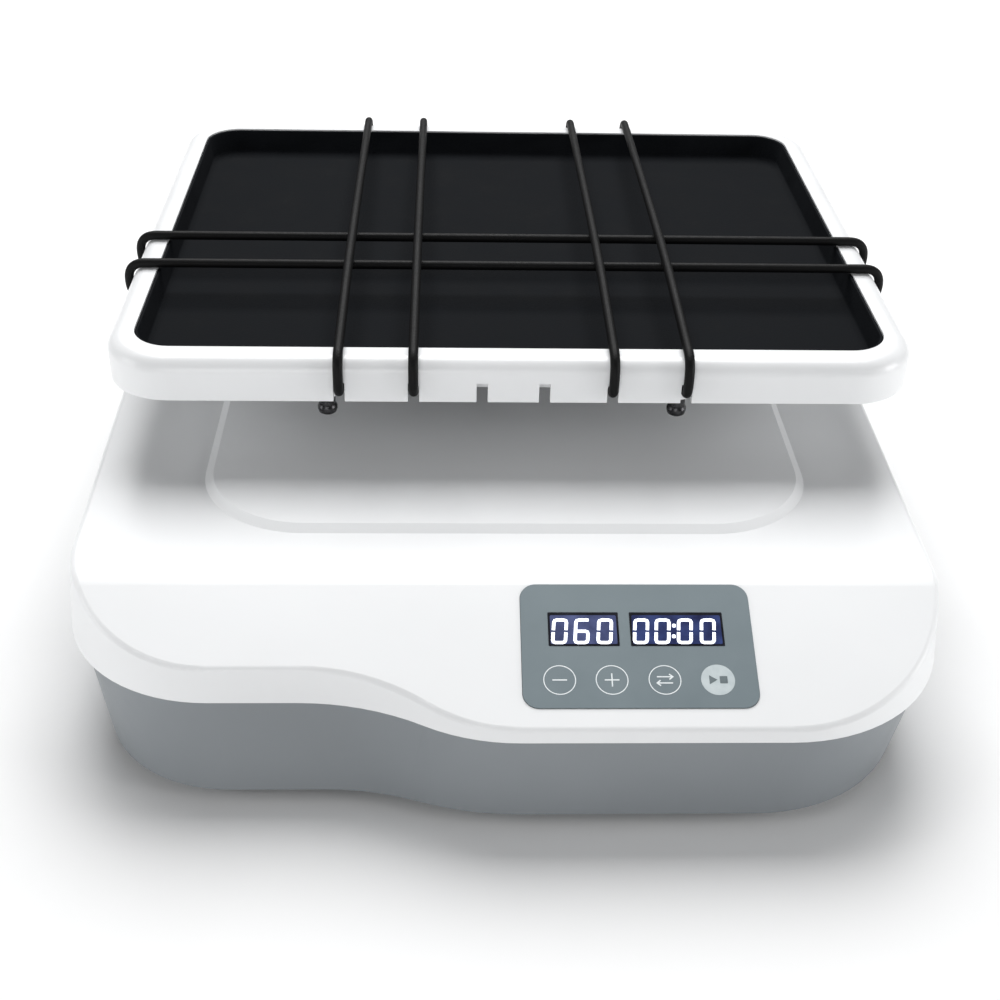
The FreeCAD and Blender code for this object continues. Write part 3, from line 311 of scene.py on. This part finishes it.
finishes["panel_grey"] = panelFilm({
    "dark": tint(116, 128, 133), "light": tint(122, 134, 139), "inkScale": 45.0, "glossScale": 90.0,
    "roughness": (0.34, 0.42), "peelScale": 420.0, "peel": 0.06, "ior": 1.56, "gloss": 0.22})
finishes["display_dark"] = litPlastic("smokedWindow", {
    "dark": tint(5, 6, 14), "light": tint(11, 13, 26), "glowDark": (0.0, 0.0, 0.0),
    "glowLight": (0.0, 0.0, 0.01), "cloudScale": 80.0, "glow": 0.2, "roughness": (0.2, 0.28), "gloss": 0.2})
finishes["board_green"] = mouldedPlastic("solderMask", dict(
    whiteSpec, dark=tint(16, 74, 44), light=tint(28, 96, 58), cloudScale=240.0,
    roughness=(0.25, 0.4), skin=0.4))
finishes["component_dark"] = mouldedPlastic("chipCase", dict(
    blackSpec, dark=tint(28, 29, 31), light=tint(46, 47, 49), cloudScale=300.0, roughness=(0.4, 0.6)))
finishes["cord_black"] = braidedSleeve({
    "dark": tint(3, 3, 3), "light": tint(10, 10, 11), "lean": 52.0, "pitch": 4.5, "unevenness": 0.15,
    "relief": 0.35, "fuzzScale": 900.0, "roughness": (0.45, 0.6), "sheen": 0.0, "gloss": 0.16})
backlights = {
    "left": litPlastic("slateBacklight", {
        "dark": tint(22, 26, 50), "light": tint(44, 50, 80), "glowDark": tint(50, 60, 100),
        "glowLight": tint(92, 102, 150), "cloudScale": 150.0, "glow": 0.6, "roughness": (0.3, 0.4),
        "gloss": 0.15}),
    "right": litPlastic("blueBacklight", {
        "dark": tint(8, 12, 34), "light": tint(18, 26, 60), "glowDark": tint(12, 22, 76),
        "glowLight": tint(58, 78, 140), "cloudScale": 150.0, "glow": 0.6, "roughness": (0.3, 0.4),
        "gloss": 0.15}),
}
digitLight = litPlastic("litSegment", {
    "dark": tint(235, 240, 255), "light": tint(250, 252, 255), "glowDark": tint(226, 236, 255),
    "glowLight": tint(250, 252, 255), "cloudScale": 300.0, "glow": 1.2, "roughness": (0.3, 0.4)})
whitePrint = mouldedPlastic("whitePrint", dict(
    whiteSpec, dark=tint(228, 234, 236), light=tint(242, 246, 247), cloudScale=400.0, skin=0.2, coat=0.0))
palePrint = mouldedPlastic("palePrint", dict(
    whiteSpec, dark=tint(186, 197, 200), light=tint(200, 209, 211), cloudScale=300.0, skin=0.2, coat=0.0))
slatePrint = mouldedPlastic("slatePrint", dict(
    whiteSpec, dark=tint(92, 104, 108), light=tint(108, 120, 124), cloudScale=300.0, skin=0.2, coat=0.0))
print("display and cord materials made")


# Shared mesh helpers

sharpFrom = {"case": 30, "piece": 38}       # degrees between faces that still read as an edge


def newPiece(name, mesh, material, body, stands=()):
    mesh.materials.append(material)
    for face in mesh.polygons:
        face.use_smooth = True
    mesh.set_sharp_from_angle(angle=math.radians(sharpFrom["piece"]))
    piece = bpy.data.objects.new(name, mesh)
    scene.collection.objects.link(piece)
    if stands:
        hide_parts(*stands)
    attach(piece, body)
    return piece


def softenEdges(piece, width, segments=2, angle=40.0):
    bevel = piece.modifiers.new("softEdge", "BEVEL")
    bevel.width = width
    bevel.segments = segments
    bevel.limit_method = "ANGLE"
    bevel.angle_limit = math.radians(angle)
    bevel.use_clamp_overlap = True
    normals = piece.modifiers.new("evenNormals", "WEIGHTED_NORMAL")
    normals.keep_sharp = True


def roundedOutline(left, right, front, back, radius, steps=12):
    # corners run anticlockwise from the front right
    points = []
    for index, (x, y) in enumerate(((right - radius, front + radius), (right - radius, back - radius),
                                    (left + radius, back - radius), (left + radius, front + radius))):
        start = math.radians(-90 + 90 * index)
        for step in range(steps + 1):
            turn = start + math.radians(90) * step / steps
            points.append((x + radius * math.cos(turn), y + radius * math.sin(turn)))
    return points


def circlePoints(count):
    # unit circle as (x, y) pairs
    turns = [2 * math.pi * step / count for step in range(count)]
    return [(math.cos(turn), math.sin(turn)) for turn in turns]


def addLoop(work, points):
    return [work.verts.new(point) for point in points]


def bridge(work, first, second):
    count = len(first)
    for index in range(count):
        after = (index + 1) % count
        work.faces.new((first[index], first[after], second[after], second[index]))


def asMesh(work, name):
    bmesh.ops.recalc_face_normals(work, faces=work.faces)
    mesh = bpy.data.meshes.new(name)
    work.to_mesh(mesh)
    work.free()
    return mesh


def turnedLoops(work, profile, centre, steps=40, turn=None):
    # profile of (radius, height); a radius of nought closes the end
    rings = []
    for radius, height in profile:
        if radius < 1e-7:
            spot = Vector((0.0, 0.0, height))
            rings.append([spot])
        else:
            rings.append([Vector((radius * x, radius * y, height)) for x, y in circlePoints(steps)])
    made = [addLoop(work, [(turn @ spot if turn else spot) + Vector(centre) for spot in ring])
            for ring in rings]
    for first, second in zip(made, made[1:]):
        if len(first) == 1:
            for index in range(steps):
                work.faces.new((first[0], second[index], second[(index + 1) % steps]))
        elif len(second) == 1:
            for index in range(steps):
                work.faces.new((second[0], first[(index + 1) % steps], first[index]))
        else:
            bridge(work, first, second)


# CAD parts keep their shape and take a finish, even shading and slightly broken edges

edgeWidths = {
    "switch_housing": 0.0004, "inlet_nut": 0.0003, "carrier_plate": 0.0003, "chassis_plate": 0.0003,
    "motor_bracket": 0.0004, "counterweight": 0.0004, "control_board": 0.0002, "display_board": 0.0002,
    "display_modules": 0.0003, "board_components": 0.0003, "motor_body": 0.0005,
    "top_cover": 0.0004, "tray": 0.0004, "base_housing": 0.0005,
}
for nodeName, part in nodes.items():
    slotName = part.material_slots[0].material.name.split(".")[0]
    part.material_slots[0].material = finishes[slotName]
    for face in part.data.polygons:
        face.use_smooth = True
    part.data.set_sharp_from_angle(angle=math.radians(sharpFrom["case"]))
    if nodeName in edgeWidths:
        softenEdges(part, edgeWidths[nodeName])
    else:
        even = part.modifiers.new("evenNormals", "WEIGHTED_NORMAL")
        even.keep_sharp = True
print("CAD parts finished:", len(nodes))


# Keypad: display windows, lit digits, touch keys

keypad = {
    "origin": (0.0, -189.1, 45.37), "tilt": 22.06, "face": 0.4,
    "windows": ((14.8, 38.8), (42.6, 74.4)), "windowLow": 30.3, "windowHigh": 43.3, "windowCorner": 0.35,
    "windowBase": -0.3, "windowLift": 0.12, "windowEdge": 0.00006,
    "glowInset": 0.75, "glowTopInset": 1.2, "glowCorner": 0.5, "glowBase": 0.02, "glowLift": 0.15,
    "digitLow": 31.0, "digitHigh": 40.8, "digitWidth": 5.4, "stroke": 1.12, "slant": 5.0, "gap": 0.42,
    "leftDigits": (("0", 18.7), ("6", 26.2), ("0", 34.0)),
    "rightDigits": (("0", 46.3), ("0", 53.6), ("0", 61.2), ("0", 69.0)),
    "cornerCut": 0.95, "cornerBow": 0.28, "sixStart": 0.3, "digitBase": 0.05, "digitLift": 0.2,
    "colon": 57.45, "colonLevels": (0.3, 0.72), "dotHalf": (0.62, 0.7), "dotCorner": 0.45,
    "keys": (18.0, 35.4, 53.0, 70.7), "keyLevel": 17.6, "keyRadius": 5.28, "ring": 0.33, "around": 72,
    "printBase": -0.1, "printLift": 0.06, "sign": 4.9, "signStroke": 0.44,
    "arrowRail": 1.15, "arrowHalf": 2.6, "barb": (1.5, 1.0), "barbTip": 2.7,
    "startRadius": 5.65, "play": ((-2.9, 1.7), (-2.9, -1.7), (-0.2, 0.0)), "stop": (0.6, 3.2, 1.35, 0.2),
    "signLift": 0.09,
}


def onPanel(across, up, lift):
    lean = math.radians(keypad["tilt"])
    x, y, z = keypad["origin"]
    lift += keypad["face"]
    return Vector((x + across, y + up * math.cos(lean) - lift * math.sin(lean),
                   z + up * math.sin(lean) + lift * math.cos(lean))) * mm


def addPlate(work, outline, low, high):
    # flat plate on the panel from a closed outline of (across, up)
    bottom = addLoop(work, [onPanel(across, up, low) for across, up in outline])
    top = addLoop(work, [onPanel(across, up, high) for across, up in outline])
    bridge(work, bottom, top)
    work.faces.new(bottom[::-1])
    work.faces.new(top)


longestMitre = 0.35      # cosine at which a mitre stops growing


def strokeOutline(path, width, closed=False):
    # the two edges of a pen line, mitred at its corners
    count = len(path)
    sides = ([], [])
    for index, (x, y) in enumerate(path):
        before = path[index - 1] if index or closed else None
        after = path[(index + 1) % count] if index < count - 1 or closed else None
        runs = []
        for first, second in ((before, (x, y)), ((x, y), after)):
            if first and second:
                run = Vector((second[0] - first[0], second[1] - first[1])).normalized()
                runs.append(Vector((-run.y, run.x)))
        edge = sum(runs, Vector((0.0, 0.0))).normalized()
        reach = width / 2 / max(edge.dot(runs[0]), longestMitre)
        sides[0].append((x + edge.x * reach, y + edge.y * reach))
        sides[1].append((x - edge.x * reach, y - edge.y * reach))
    return sides


def addStroke(work, path, width, low, high, closed=False):
    left, right = strokeOutline(path, width, closed)
    if not closed:
        addPlate(work, right + left[::-1], low, high)
        return
    loops = [addLoop(work, [onPanel(across, up, level) for across, up in edge])
             for edge, level in ((left, low), (left, high), (right, high), (right, low))]
    for first, second in zip(loops, loops[1:] + loops[:1]):
        bridge(work, first, second)


def digitPaths(shape, centre):
    # middle lines of the lit segments that make up one digit
    half = (keypad["digitWidth"] - keypad["stroke"]) / 2
    low = keypad["digitLow"] + keypad["stroke"] / 2
    high = keypad["digitHigh"] - keypad["stroke"] / 2
    middle = (low + high) / 2
    cut, gap = keypad["cornerCut"], keypad["gap"]
    bow = cut * keypad["cornerBow"]
    topLeft = [(-half, high - cut), (-half + bow, high - bow), (-half + cut, high)]
    topRight = [(half - cut, high), (half - bow, high - bow), (half, high - cut)]
    lowLeft = [(-half, low + cut), (-half + bow, low + bow), (-half + cut, low)]
    lowRight = [(half - cut, low), (half - bow, low + bow), (half, low + cut)]
    if shape == "0":
        raw = [[(-half, middle + gap), *topLeft, *topRight, (half, middle + gap)],
               [(-half, middle - gap), *lowLeft, *lowRight, (half, middle - gap)]]
    else:
        raw = [[(half, high), *topLeft[::-1], *lowLeft, *lowRight, (half, middle - cut),
                (half - bow, middle - bow), (half - cut, middle), (-half + keypad["sixStart"], middle)]]
    lean = math.tan(math.radians(keypad["slant"]))
    return [[(centre + x + (y - middle) * lean, y) for x, y in path] for path in raw]


def makeDisplay(side, left, right):
    low, high = keypad["windowLow"], keypad["windowHigh"]
    work = bmesh.new()
    frameLine = roundedOutline(left, right, low, high, keypad["windowCorner"], 4)
    addPlate(work, frameLine, keypad["windowBase"], keypad["windowLift"])
    window = newPiece(side + "DisplayWindow", asMesh(work, side + "Window"), finishes["display_dark"], "root")
    softenEdges(window, keypad["windowEdge"])
    work = bmesh.new()
    inset, topInset = keypad["glowInset"], keypad["glowTopInset"]
    glowLine = roundedOutline(left + inset, right - inset, low + inset, high - topInset,
                              keypad["glowCorner"], 4)
    addPlate(work, glowLine, keypad["glowBase"], keypad["glowLift"])
    newPiece(side + "Backlight", asMesh(work, side + "Glow"), backlights[side], "root")
    work = bmesh.new()
    for shape, centre in keypad[side + "Digits"]:
        for path in digitPaths(shape, centre):
            addStroke(work, path, keypad["stroke"], keypad["digitBase"], keypad["digitLift"])
    if side == "right":
        wide, tall = keypad["dotHalf"]
        for level in keypad["colonLevels"]:
            spot = keypad["digitLow"] + (keypad["digitHigh"] - keypad["digitLow"]) * level
            lean = math.tan(math.radians(keypad["slant"])) * (level - 0.5) * 10
            middle = keypad["colon"] + lean
            dot = roundedOutline(middle - wide, middle + wide, spot - tall, spot + tall,
                                 keypad["dotCorner"], 4)
            addPlate(work, dot, keypad["digitBase"], keypad["digitLift"])
    newPiece(side + "Digits", asMesh(work, side + "Segments"), digitLight, "root")


def makeKeys():
    level, base, lift = keypad["keyLevel"], keypad["printBase"], keypad["printLift"]
    circle = circlePoints(keypad["around"])
    work = bmesh.new()
    radius = keypad["keyRadius"]
    for centre in keypad["keys"][:3]:
        line = [(centre + radius * x, level + radius * y) for x, y in circle]
        addStroke(work, line, keypad["ring"], base, lift, True)
    newPiece("keyRings", asMesh(work, "keyRings"), whitePrint, "root")

    work = bmesh.new()
    half, pen = keypad["sign"] / 2, keypad["signStroke"]
    minus, plus, mode, start = keypad["keys"]
    addStroke(work, [(minus - half, level), (minus + half, level)], pen, base, lift)
    addStroke(work, [(plus - half, level), (plus + half, level)], pen, base, lift)
    for end in (-1, 1):
        addStroke(work, [(plus, level + end * pen / 2), (plus, level + end * half)], pen, base, lift)
    arrow, tip, (barb, spread) = keypad["arrowHalf"], keypad["barbTip"], keypad["barb"]
    for end in (-1, 1):
        rail = level + end * keypad["arrowRail"]
        addStroke(work, [(mode - arrow, rail), (mode + arrow, rail)], pen, base, lift)
        head = [(mode + end * barb, rail + spread), (mode + end * tip, rail),
                (mode + end * barb, rail - spread)]
        addStroke(work, head, pen, base, lift + 0.01)
    newPiece("keySigns", asMesh(work, "keySigns"), whitePrint, "root")

    work = bmesh.new()
    radius = keypad["startRadius"]
    addPlate(work, [(start + radius * x, level + radius * y) for x, y in circle], base, lift)
    newPiece("startKey", asMesh(work, "startKey"), palePrint, "root")
    work = bmesh.new()
    left, right, tall, corner = keypad["stop"]
    addPlate(work, [(start + x, level + y) for x, y in keypad["play"]], 0.0, keypad["signLift"])
    addPlate(work, roundedOutline(start + left, start + right, level - tall, level + tall, corner, 3),
             0.0, keypad["signLift"])
    newPiece("startStopSigns", asMesh(work, "startStopSigns"), slatePrint, "root")


for side, (left, right) in zip(("left", "right"), keypad["windows"]):
    makeDisplay(side, left, right)
makeKeys()
print("keypad made")


# Rubber mat in the tray

matLow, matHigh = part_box("tray_mat")
mat = {
    "corner": 14.9 * mm, "cornerShrink": 0.8, "cornerSteps": 16,
    # how far in from the edge, and how far below the lip
    "section": ((0.0, 11.55), (0.0, 0.45), (0.12, 0.14), (0.4, 0.0), (0.85, 0.0), (1.12, 0.14), (1.25, 0.45),
                (2.15, 9.0), (2.35, 9.5), (2.8, 9.82), (3.4, 9.95)),
}


def makeMat():
    work = bmesh.new()
    loops = []
    for step, down in mat["section"]:
        inset = step * mm
        outline = roundedOutline(matLow.x + inset, matHigh.x - inset, matLow.y + inset, matHigh.y - inset,
                                 mat["corner"] - inset * mat["cornerShrink"], mat["cornerSteps"])
        loops.append(addLoop(work, [(x, y, matHigh.z - down * mm) for x, y in outline]))
    for first, second in zip(loops, loops[1:]):
        bridge(work, first, second)
    work.faces.new(loops[-1])
    work.faces.new(loops[0][::-1])
    newPiece("rubberMat", asMesh(work, "rubberMat"), finishes["mat_black"], "platform",
             ("tray_mat",))


makeMat()
print("mat made")


# Elastic cords: closed loops over the tray, hooked through the slots of its skirt

cords = {
    "middle": (5.0, 57.75), "radius": 1.85, "inside": 101.6, "rim": 116.35,
    "frontTuck": 120.9, "frontReach": 128.45, "sideTuck": 147.5, "sideReach": 154.45,
    "frontRise": 0.84, "over": ((-59.0, 120.25), (-7.5, 120.25)), "backRise": 0.43,
    "pairs": {"elastic_cord_left": (-64.5, -37.0), "elastic_cord_right": (64.5, 37.0),
              "elastic_cord_cross": (-47.0, -19.5)},
    "ease": 14.9, "turnIn": 6.8, "resolution": 14, "around": 20,
}


def cordRoute(first, second, alongX):
    # out over the tray at one place, in behind the skirt, and back at the other
    tuck = cords["sideTuck"] if alongX else cords["frontTuck"]
    reach = cords["sideReach"] if alongX else cords["frontReach"]
    inside, rim, ease = cords["inside"], cords["rim"], cords["ease"]
    if alongX:
        top = [(-reach + ease, rim), (0.0, rim), (reach - ease, rim)]
    else:
        top = [(-reach + ease, rim + cords["frontRise"]), *cords["over"],
               (reach - ease, rim + cords["backRise"])]
    stations = [(-tuck, inside), (-reach, inside), (-reach, rim), *top,
                (reach, rim), (reach, inside), (tuck, inside)]
    step = cords["turnIn"] if second > first else -cords["turnIn"]
    route = [(station, first, height) for station, height in stations]
    route += [(tuck, first + step, inside), (tuck, second - step, inside)]
    route += [(station, second, height) for station, height in stations[::-1]]
    route += [(-tuck, second - step, inside), (-tuck, first + step, inside)]
    centreX, centreY = cords["middle"]
    return [Vector((centreX + a, centreY + b, z) if alongX else (centreX + b, centreY + a, z)) * mm
            for a, b, z in route]


def smoothLine(name, route):
    # closed NURBS through its control points, read back as a fine line
    curve = bpy.data.curves.new(name, "CURVE")
    curve.dimensions = "3D"
    curve.resolution_u = cords["resolution"]
    spline = curve.splines.new("NURBS")
    spline.points.add(len(route) - 1)
    for point, spot in zip(spline.points, route):
        point.co = (*spot, 1.0)
    spline.order_u = 3
    spline.use_cyclic_u = True
    holder = bpy.data.objects.new(name, curve)
    scene.collection.objects.link(holder)
    bpy.context.view_layer.update()
    line = bpy.data.meshes.new_from_object(holder.evaluated_get(bpy.context.evaluated_depsgraph_get()))
    points = [vertex.co.copy() for vertex in line.vertices]
    bpy.data.objects.remove(holder)
    bpy.data.meshes.remove(line)
    return points


def sweepLoop(name, line, radius, around):
    # a tube round a closed line, its ring frames carried along and the leftover twist shared out
    count = len(line)
    runs = [(line[(index + 1) % count] - line[index - 1]).normalized() for index in range(count)]
    side = runs[0].orthogonal().normalized()
    sides = [side]
    for index in range(1, count + 1):
        side = (side - runs[index % count] * side.dot(runs[index % count])).normalized()
        sides.append(side)
    leftover = math.atan2(runs[0].dot(sides[-1].cross(sides[0])), sides[-1].dot(sides[0]))
    work = bmesh.new()
    loops, travel = [], [0.0]
    circle = circlePoints(around)
    for index in range(count):
        twist = Matrix.Rotation(leftover * index / count, 3, runs[index])
        across = twist @ sides[index]
        other = runs[index].cross(across)
        loops.append(addLoop(work, [line[index] + (across * x + other * y) * radius for x, y in circle]))
        travel.append(travel[-1] + (line[(index + 1) % count] - line[index]).length)
    wrap = work.loops.layers.uv.new("alongCord")
    girth = 2 * math.pi * radius
    for index in range(count):
        first, second = loops[index], loops[(index + 1) % count]
        for step in range(around):
            after = (step + 1) % around
            face = work.faces.new((first[step], first[after], second[after], second[step]))
            marks = ((step, travel[index]), (step + 1, travel[index]), (step + 1, travel[index + 1]),
                     (step, travel[index + 1]))
            for corner, (turn, length) in zip(face.loops, marks):
                corner[wrap].uv = (turn / around, length / girth)
    return asMesh(work, name)


for nodeName, (first, second) in cords["pairs"].items():
    cordLine = smoothLine(nodeName + "Line", cordRoute(first, second, nodeName == "elastic_cord_cross"))
    cordMesh = sweepLoop(nodeName, cordLine, cords["radius"] * mm, cords["around"])
    pieceName = "elasticLoop" + nodeName.split("_")[-1].capitalize()
    newPiece(pieceName, cordMesh, finishes["cord_black"], "platform", (nodeName,))
print("elastic cords made")


# Screws with hexagon sockets, each built over its CAD screw

screws = {
    "bodies": {
        "foot_screws": "root", "cover_screws": "root", "chassis_screws": "root", "housing_screws": "root",
        "motor_screws": "root", "board_screws": "root", "hub_screws": "platform", "tray_screws": "platform",
    },
    "spread": 8.0 * mm, "steps": 36,
    # shares of the head's radius and thickness
    "socket": 0.5, "depth": 0.55, "edge": 0.14, "round": 0.3, "lead": 0.2,
    "headRim": 0.93, "shankFrom": 1.6, "tipRadius": 0.7,
}


def screwPlaces(nodeName):
    # groups the CAD points by their place in plan
    groups = []
    for vertex in nodes[nodeName].data.vertices:
        spot = vertex.co
        for group in groups:
            if (group[0].xy - spot.xy).length < screws["spread"]:
                group.append(spot)
                break
        else:
            groups.append([spot])
    return groups


def hexLoop(work, reach, level, centre, flip):
    # hexagon with as many points as the head's circle
    points = []
    for step in range(screws["steps"]):
        turn = 2 * math.pi * step / screws["steps"]
        wedge = (turn + math.pi / 6) % (math.pi / 3) - math.pi / 6
        out = reach / math.cos(wedge)
        spot = (centre.x + out * math.cos(turn), centre.y + out * math.sin(turn), centre.z + level * flip)
        points.append(spot)
    return addLoop(work, points)


def addScrew(work, group):
    low, high = min(spot.z for spot in group), max(spot.z for spot in group)
    middle = Vector((sum(max(group, key=lambda spot, way=way: way * spot.x).x for way in (1, -1)) / 2,
                     sum(max(group, key=lambda spot, way=way: way * spot.y).y for way in (1, -1)) / 2, 0.0))
    wide = max((spot.xy - middle.xy).length for spot in group)
    rim = [spot.z for spot in group if (spot.xy - middle.xy).length > wide * screws["headRim"]]
    thick = max(rim) - min(rim)
    below = min(rim) - low < high - max(rim)
    flip = 1 if below else -1
    middle.z = low if below else high
    shank = [spot for spot in group if abs(spot.z - middle.z) > thick * screws["shankFrom"]]
    slim = max([(spot.xy - middle.xy).length for spot in shank] or [wide / 2])
    edge, reach = wide * screws["edge"], wide * screws["socket"]
    depth, lead, soft = thick * screws["depth"], edge * screws["lead"], edge * screws["round"]
    inner = [hexLoop(work, reach, depth, middle, flip), hexLoop(work, reach, lead, middle, flip),
             hexLoop(work, reach + lead, 0.0, middle, flip)]
    tip = [work.verts.new((middle.x, middle.y, middle.z + depth * flip))]
    for index in range(screws["steps"]):
        work.faces.new((tip[0], inner[0][index], inner[0][(index + 1) % screws["steps"]]))
    for first, second in zip(inner, inner[1:]):
        bridge(work, first, second)
    length = high - low
    profile = ((wide - edge, 0.0), (wide - soft, soft), (wide, edge), (wide, thick - soft),
               (wide - soft, thick), (slim, thick), (slim, length - slim * screws["round"]),
               (slim * screws["tipRadius"], length))
    last = inner[-1]
    circle = circlePoints(screws["steps"])
    for radius, level in profile:
        ring = addLoop(work, [(middle.x + radius * x, middle.y + radius * y, middle.z + level * flip)
                              for x, y in circle])
        bridge(work, last, ring)
        last = ring
    work.faces.new(last)


for nodeName, body in screws["bodies"].items():
    work = bmesh.new()
    for group in screwPlaces(nodeName):
        addScrew(work, group)
    words = nodeName.split("_")
    newPiece(words[0] + "SocketScrews", asMesh(work, nodeName + "Mesh"), finishes["plated_steel"], body,
             (nodeName,))
print("screws made")


# Rear power entry: contact pin in the socket, marks on the rocker

rearEntry = {
    "pinRadius": 1.14, "pinBack": 175.5, "pinTip": 183.3, "socketX": 78.0, "level": 23.0,
    # share of the pin's radius against distance back from its tip
    "pinNose": ((1.0, 0.7), (0.75, 0.2), (0.35, 0.0)), "pinSteps": 32,
    "rockerX": 114.0, "pivotY": 178.5, "tilt": -8.0, "markOut": 5.93, "markAcross": 3.6, "lean": 14.42,
    "markSteps": 40, "markOuter": 1.75, "markInner": 1.3, "barHalf": 0.24,
    "markProud": 0.05, "markSink": -0.2,
}


def makeRearEntry():
    spec = rearEntry
    work = bmesh.new()
    toRear = Matrix.Rotation(math.radians(-90), 3, "X")
    radius, length = spec["pinRadius"] * mm, (spec["pinTip"] - spec["pinBack"]) * mm
    profile = [(0.0, 0.0), (radius, 0.0)]
    profile += [(radius * share, length - radius * back) for share, back in spec["pinNose"]]
    profile += [(0.0, length)]
    foot = (spec["socketX"] * mm, spec["pinBack"] * mm, spec["level"] * mm)
    turnedLoops(work, profile, foot, spec["pinSteps"], toRear)
    newPiece("inletPin", asMesh(work, "inletPin"), finishes["brass_nickel"], "root")

    def onRocker(side, across, up, lift):
        # a point on one of the rocker's two faces, before and after its own tilt
        lean = math.radians(spec["lean"]) * side
        local = Vector((side * spec["markAcross"] + across * math.cos(lean) - lift * math.sin(lean),
                        spec["markOut"] + across * math.sin(lean) + lift * math.cos(lean), up))
        turned = Matrix.Rotation(math.radians(spec["tilt"]), 3, "Z") @ local
        return (turned + Vector((spec["rockerX"], spec["pivotY"], spec["level"]))) * mm

    work = bmesh.new()
    outer, inner, sink, proud = (spec[key] for key in ("markOuter", "markInner", "markSink", "markProud"))
    circle = circlePoints(spec["markSteps"])
    rings = [addLoop(work, [onRocker(1, radius * x, radius * y, lift) for x, y in circle])
             for radius, lift in ((inner, sink), (inner, proud), (outer, proud), (outer, sink))]
    for first, second in zip(rings, rings[1:] + rings[:1]):
        bridge(work, first, second)
    half = spec["barHalf"]
    bar = [(-half, -outer), (half, -outer), (half, outer), (-half, outer)]
    bottom = addLoop(work, [onRocker(-1, across, up, sink) for across, up in bar])
    top = addLoop(work, [onRocker(-1, across, up, proud) for across, up in bar])
    bridge(work, bottom, top)
    work.faces.new(bottom[::-1])
    work.faces.new(top)
    newPiece("rockerMarks", asMesh(work, "rockerMarks"), whitePrint, "rocker")


makeRearEntry()
print("rear entry made")


# Stage and light

stageSet = {
    "floorHalf": 6.0, "floorCells": 12, "floorTone": (0.93, 0.93, 0.93), "floorShade": 0.985,
    "cloudScale": 14.0, "fibreScale": 500.0, "floorRoughness": (0.75, 0.85), "floorGloss": 0.2,
    "worldTone": (0.97, 0.985, 1.0), "worldStrength": 0.18,
    "lamps": {
        # place, aim, size, watts
        "overheadPanel": ((0.0, 0.9, 1.52), (0.0, -0.05, 0.05), 1.4, 39.0),
        "frontPanel": ((-0.3, -1.6, 0.2), (0.0, -0.1, 0.06), 0.9, 8.4),
        "leftPanel": ((-1.5, -0.4, 0.4), (0.0, 0.0, 0.04), 0.7, 6.0),
        "rightPanel": ((1.5, -0.4, 0.34), (0.0, 0.0, 0.04), 0.7, 9.5),
    },
}
scene.view_settings.view_transform = "Standard"     # plain display tones, so the white case stays white


def makeStage(spec):
    work = bmesh.new()
    cells = spec["floorCells"]
    bmesh.ops.create_grid(work, x_segments=cells, y_segments=cells, size=spec["floorHalf"])
    floorMesh = asMesh(work, "studioFloor")
    made, tree, shader, place = blankMaterial("paperFloor")
    grain = addNoise(tree, place, spec["cloudScale"], detail=4.0)
    low = tuple(part * spec["floorShade"] for part in spec["floorTone"])
    tree.links.new(addBlend(tree, addRange(tree, grain, 0.0, 1.0), low, spec["floorTone"]),
                   shader.inputs["Base Color"])
    tree.links.new(addRange(tree, grain, *spec["floorRoughness"]), shader.inputs["Roughness"])
    addBump(tree, addNoise(tree, place, spec["fibreScale"]), shader, 0.05, relief["peel"])
    shader.inputs["Specular IOR Level"].default_value = spec["floorGloss"]
    floorMesh.materials.append(made)
    floor = bpy.data.objects.new("studioFloor", floorMesh)
    scene.collection.objects.link(floor)
    world = bpy.data.worlds.new("softRoom")
    world.use_nodes = True
    backdrop = world.node_tree.nodes["Background"]
    backdrop.inputs["Color"].default_value = (*spec["worldTone"], 1.0)
    backdrop.inputs["Strength"].default_value = spec["worldStrength"]
    scene.world = world
    for name, (place, aim, size, watts) in spec["lamps"].items():
        lamp = bpy.data.lights.new(name, "AREA")
        lamp.shape = "SQUARE"
        lamp.size = size
        lamp.energy = watts
        holder = bpy.data.objects.new(name, lamp)
        holder.location = place
        holder.rotation_euler = (Vector(aim) - Vector(place)).to_track_quat("-Z", "Y").to_euler()
        scene.collection.objects.link(holder)


makeStage(stageSet)
print("stage and lamps set")
